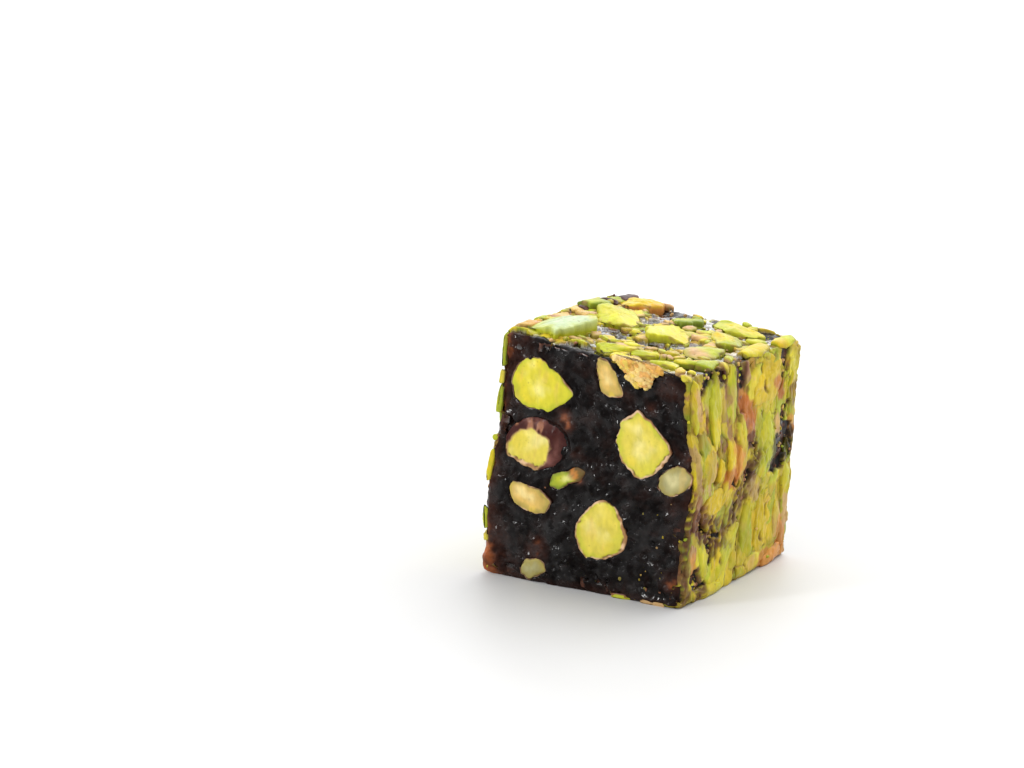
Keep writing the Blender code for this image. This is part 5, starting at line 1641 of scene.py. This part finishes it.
def makeLargeSlivers():
    number = 0
    for side, slivers in largeSlivers.items():
        for word, (across, along, length, width, *rest) in slivers.items():
            node = f"sliver_{side}_{word}"
            around = distanceTo(side, across)
            parts = partsFor(node, "yellowSlivers" if word in yellowWords else "greenSlivers")
            longer, wider, higher = sliverStyle["spread"].get(node, sliverStyle["spread"][side])
            shape = (length * longer, width * wider, *rest)
            climbing = 1 if side == "right" else -1  # whether the way round the coat goes up
            makeSliver(parts, around, along, climbing, shape, np.random.default_rng(300 + number),
                       block["stand"][side] + higher, sliverStyle["large"], sliverStyle["rise"].get(node, 0.0))
            take(footprint(around, along, *shape[:3]))
            number += 1


markSeams()
makeJelly(pieces["jellyBlock"][2])
for end, nuts, firstSeed in (("front", frontNuts, 11), ("back", backNuts, 17)):
    for number, (word, nut) in enumerate(nuts.items()):
        parts = partsFor(f"nut_{end}_{word}", "cutNuts")
        makeCutNut(parts, word, nut, end == "front", firstSeed + number * 12)
makeBrokenNut(pieces["roastNuts"][2], np.random.default_rng(5))
print("jelly and nuts ready")
makeLargeSlivers()
makeCoatFill(pieces["nearFill"][2], pieces["farFill"][2], np.random.default_rng(41))
scatterSmall(pieces["smallSlivers"][2], np.random.default_rng(17))
for make, seed in ((makeCrumbs, 23), (makeBeads, 27), (makeSpecks, 29)):
    make(pieces["crumbs"][2], np.random.default_rng(seed))
print("slivers and crumbs ready")

for name, (material, slotName, parts, nodes) in pieces.items():
    piece = parts.build(name, materials[material])
    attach(piece, "root")
    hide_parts(*nodes)
    print(name, "triangles", sum(len(polygon.vertices) - 2 for polygon in piece.data.polygons))


# Floor, lights and camera
# the floor's size, its tone near the block, darker there as a painted shadow, its plain pale tone far off, and
# its roughness
floorWithPaintedShadow = {"size": 6.0, "near": 0.64, "far": 0.80, "roughness": 0.55}


def makeFloor():
    mesh = bpy.data.meshes.new("floor")
    half = floorWithPaintedShadow["size"] / 2
    mesh.from_pydata([(-half, -half, 0), (half, -half, 0), (half, half, 0), (-half, half, 0)], [], [(0, 1, 2, 3)])
    floor = bpy.data.objects.new("floor", mesh)
    bpy.context.scene.collection.objects.link(floor)
    material, tree, shader = startMaterial("paleFloor")
    place = addNode(tree, "TexCoord").outputs["Object"]
    noise = addNoise(tree, place, 30.0, 3.0)
    # painted shadow: the floor darkens towards the block
    reach = addNode(tree, "VectorMath", {0: place}, operation="LENGTH").outputs["Value"]
    tone = spanned(tree, reach, 0.02, 0.20, floorWithPaintedShadow["near"], floorWithPaintedShadow["far"])
    rough = floorWithPaintedShadow["roughness"]
    setInputs(tree, shader, {
        "Base Color": grey(tree, addMath(tree, "MULTIPLY_ADD", noise, 0.03, tone)),
        "Roughness": spanned(tree, noise, 0.3, 0.7, rough - 0.04, rough + 0.04),
    })
    mesh.materials.append(material)


# softboxes: place in metres, width, height, power in watts, and the place each looks at
softboxes = {
    "topBox": ((-0.05, 0.10, 0.62), 0.60, 0.60, 0.55, (0, 0, 0.02)),
    "backBox": ((-0.15, 0.75, 0.42), 0.9, 0.5, 1.3, (0, 0, 0.02)),
    "rightBox": ((0.70, 0.05, 0.30), 0.5, 0.5, 0.5, (0, 0, 0.02)),
    "frontBox": ((0.25, -0.75, 0.45), 0.4, 0.4, 0.78, (0, 0, 0.02)),
    "glintBox": ((-0.40, -0.66, 0.30), 0.12, 0.12, 2.6, (0, 0, 0.02)),
    "farBox": ((0.3, 1.6, 1.3), 3.0, 1.6, 26.0, (0, 1.6, 0)),
}
# how bright the surroundings are, the way to their bright side, and how much stronger they are in reflections
worldLight = {"behind": 0.95, "front": 0.30, "way": (-0.45, 0.65, 0.6), "reflected": 1.5}


def makeLights():
    for name, (place, width, height, power, aim) in softboxes.items():
        light = bpy.data.lights.new(name, "AREA")
        light.shape = "RECTANGLE"
        light.size, light.size_y = width, height
        light.energy = power
        holder = bpy.data.objects.new(name, light)
        holder.location = place
        holder.rotation_euler = (Vector(place) - Vector(aim)).to_track_quat("Z", "Y").to_euler()
        bpy.context.scene.collection.objects.link(holder)
    world = bpy.data.worlds.new("paleStudio")
    world.use_nodes = True
    tree = world.node_tree
    background = tree.nodes["Background"]
    background.inputs["Color"].default_value = (1, 1, 1, 1)
    way = addNode(tree, "TexCoord").outputs["Generated"]
    toBack = addNode(tree, "VectorMath", {0: way, 1: worldLight["way"]}, operation="DOT_PRODUCT").outputs["Value"]
    strength = spanned(tree, toBack, -0.6, 0.7, worldLight["front"], worldLight["behind"])
    path = addNode(tree, "LightPath").outputs
    reflected = spanned(tree, path["Is Glossy Ray"], 0.0, 1.0, 1.0, worldLight["reflected"])
    strength = addMath(tree, "MULTIPLY", strength, reflected)
    setInputs(tree, background, {"Strength": addMath(tree, "MAXIMUM", strength, path["Is Camera Ray"])})
    bpy.context.scene.world = world


# the camera stands at an angle to the front and a little above; the block sits right of and below the middle
cameraLook = {
    "azimuth": 29.0,
    "elevation": 13.8,
    "distance": 0.384,
    "target": (0.0, 0.0, 0.017),
    "lens": 94.74,
    "sensor": 36.0,
    "roll": 1.5,
    "turned": 2.79,  # degrees the camera looks to the left of the block
    "raised": 1.38,  # degrees it looks above it
}


def makeCamera():
    turn, rise = math.radians(cameraLook["azimuth"]), math.radians(cameraLook["elevation"])
    back = Vector((math.sin(turn) * math.cos(rise), -math.cos(turn) * math.cos(rise), math.sin(rise)))
    right = Vector((math.cos(turn), math.sin(turn), 0))
    up = back.cross(right)
    level = Matrix((right, up, back)).transposed()
    turned, raised = (math.tan(math.radians(cameraLook[key])) for key in ("turned", "raised"))
    aim = Vector((turned, -raised, -1))
    swing = aim.normalized().rotation_difference(Vector((0, 0, -1))).to_matrix()
    rolled = Matrix.Rotation(math.radians(cameraLook["roll"]), 3, "Z")
    camera = bpy.data.cameras.new("camera")
    camera.lens = cameraLook["lens"]
    camera.sensor_width = cameraLook["sensor"]
    camera.clip_start, camera.clip_end = 0.01, 20
    holder = bpy.data.objects.new("camera", camera)
    place = Vector(cameraLook["target"]) + back * cameraLook["distance"]
    holder.matrix_world = Matrix.Translation(place) @ (level @ rolled @ swing).to_4x4()
    bpy.context.scene.collection.objects.link(holder)
    bpy.context.scene.camera = holder


makeFloor()
makeLights()
makeCamera()
bpy.context.scene.view_settings.view_transform = "Standard"
print("floor, lights and camera ready")
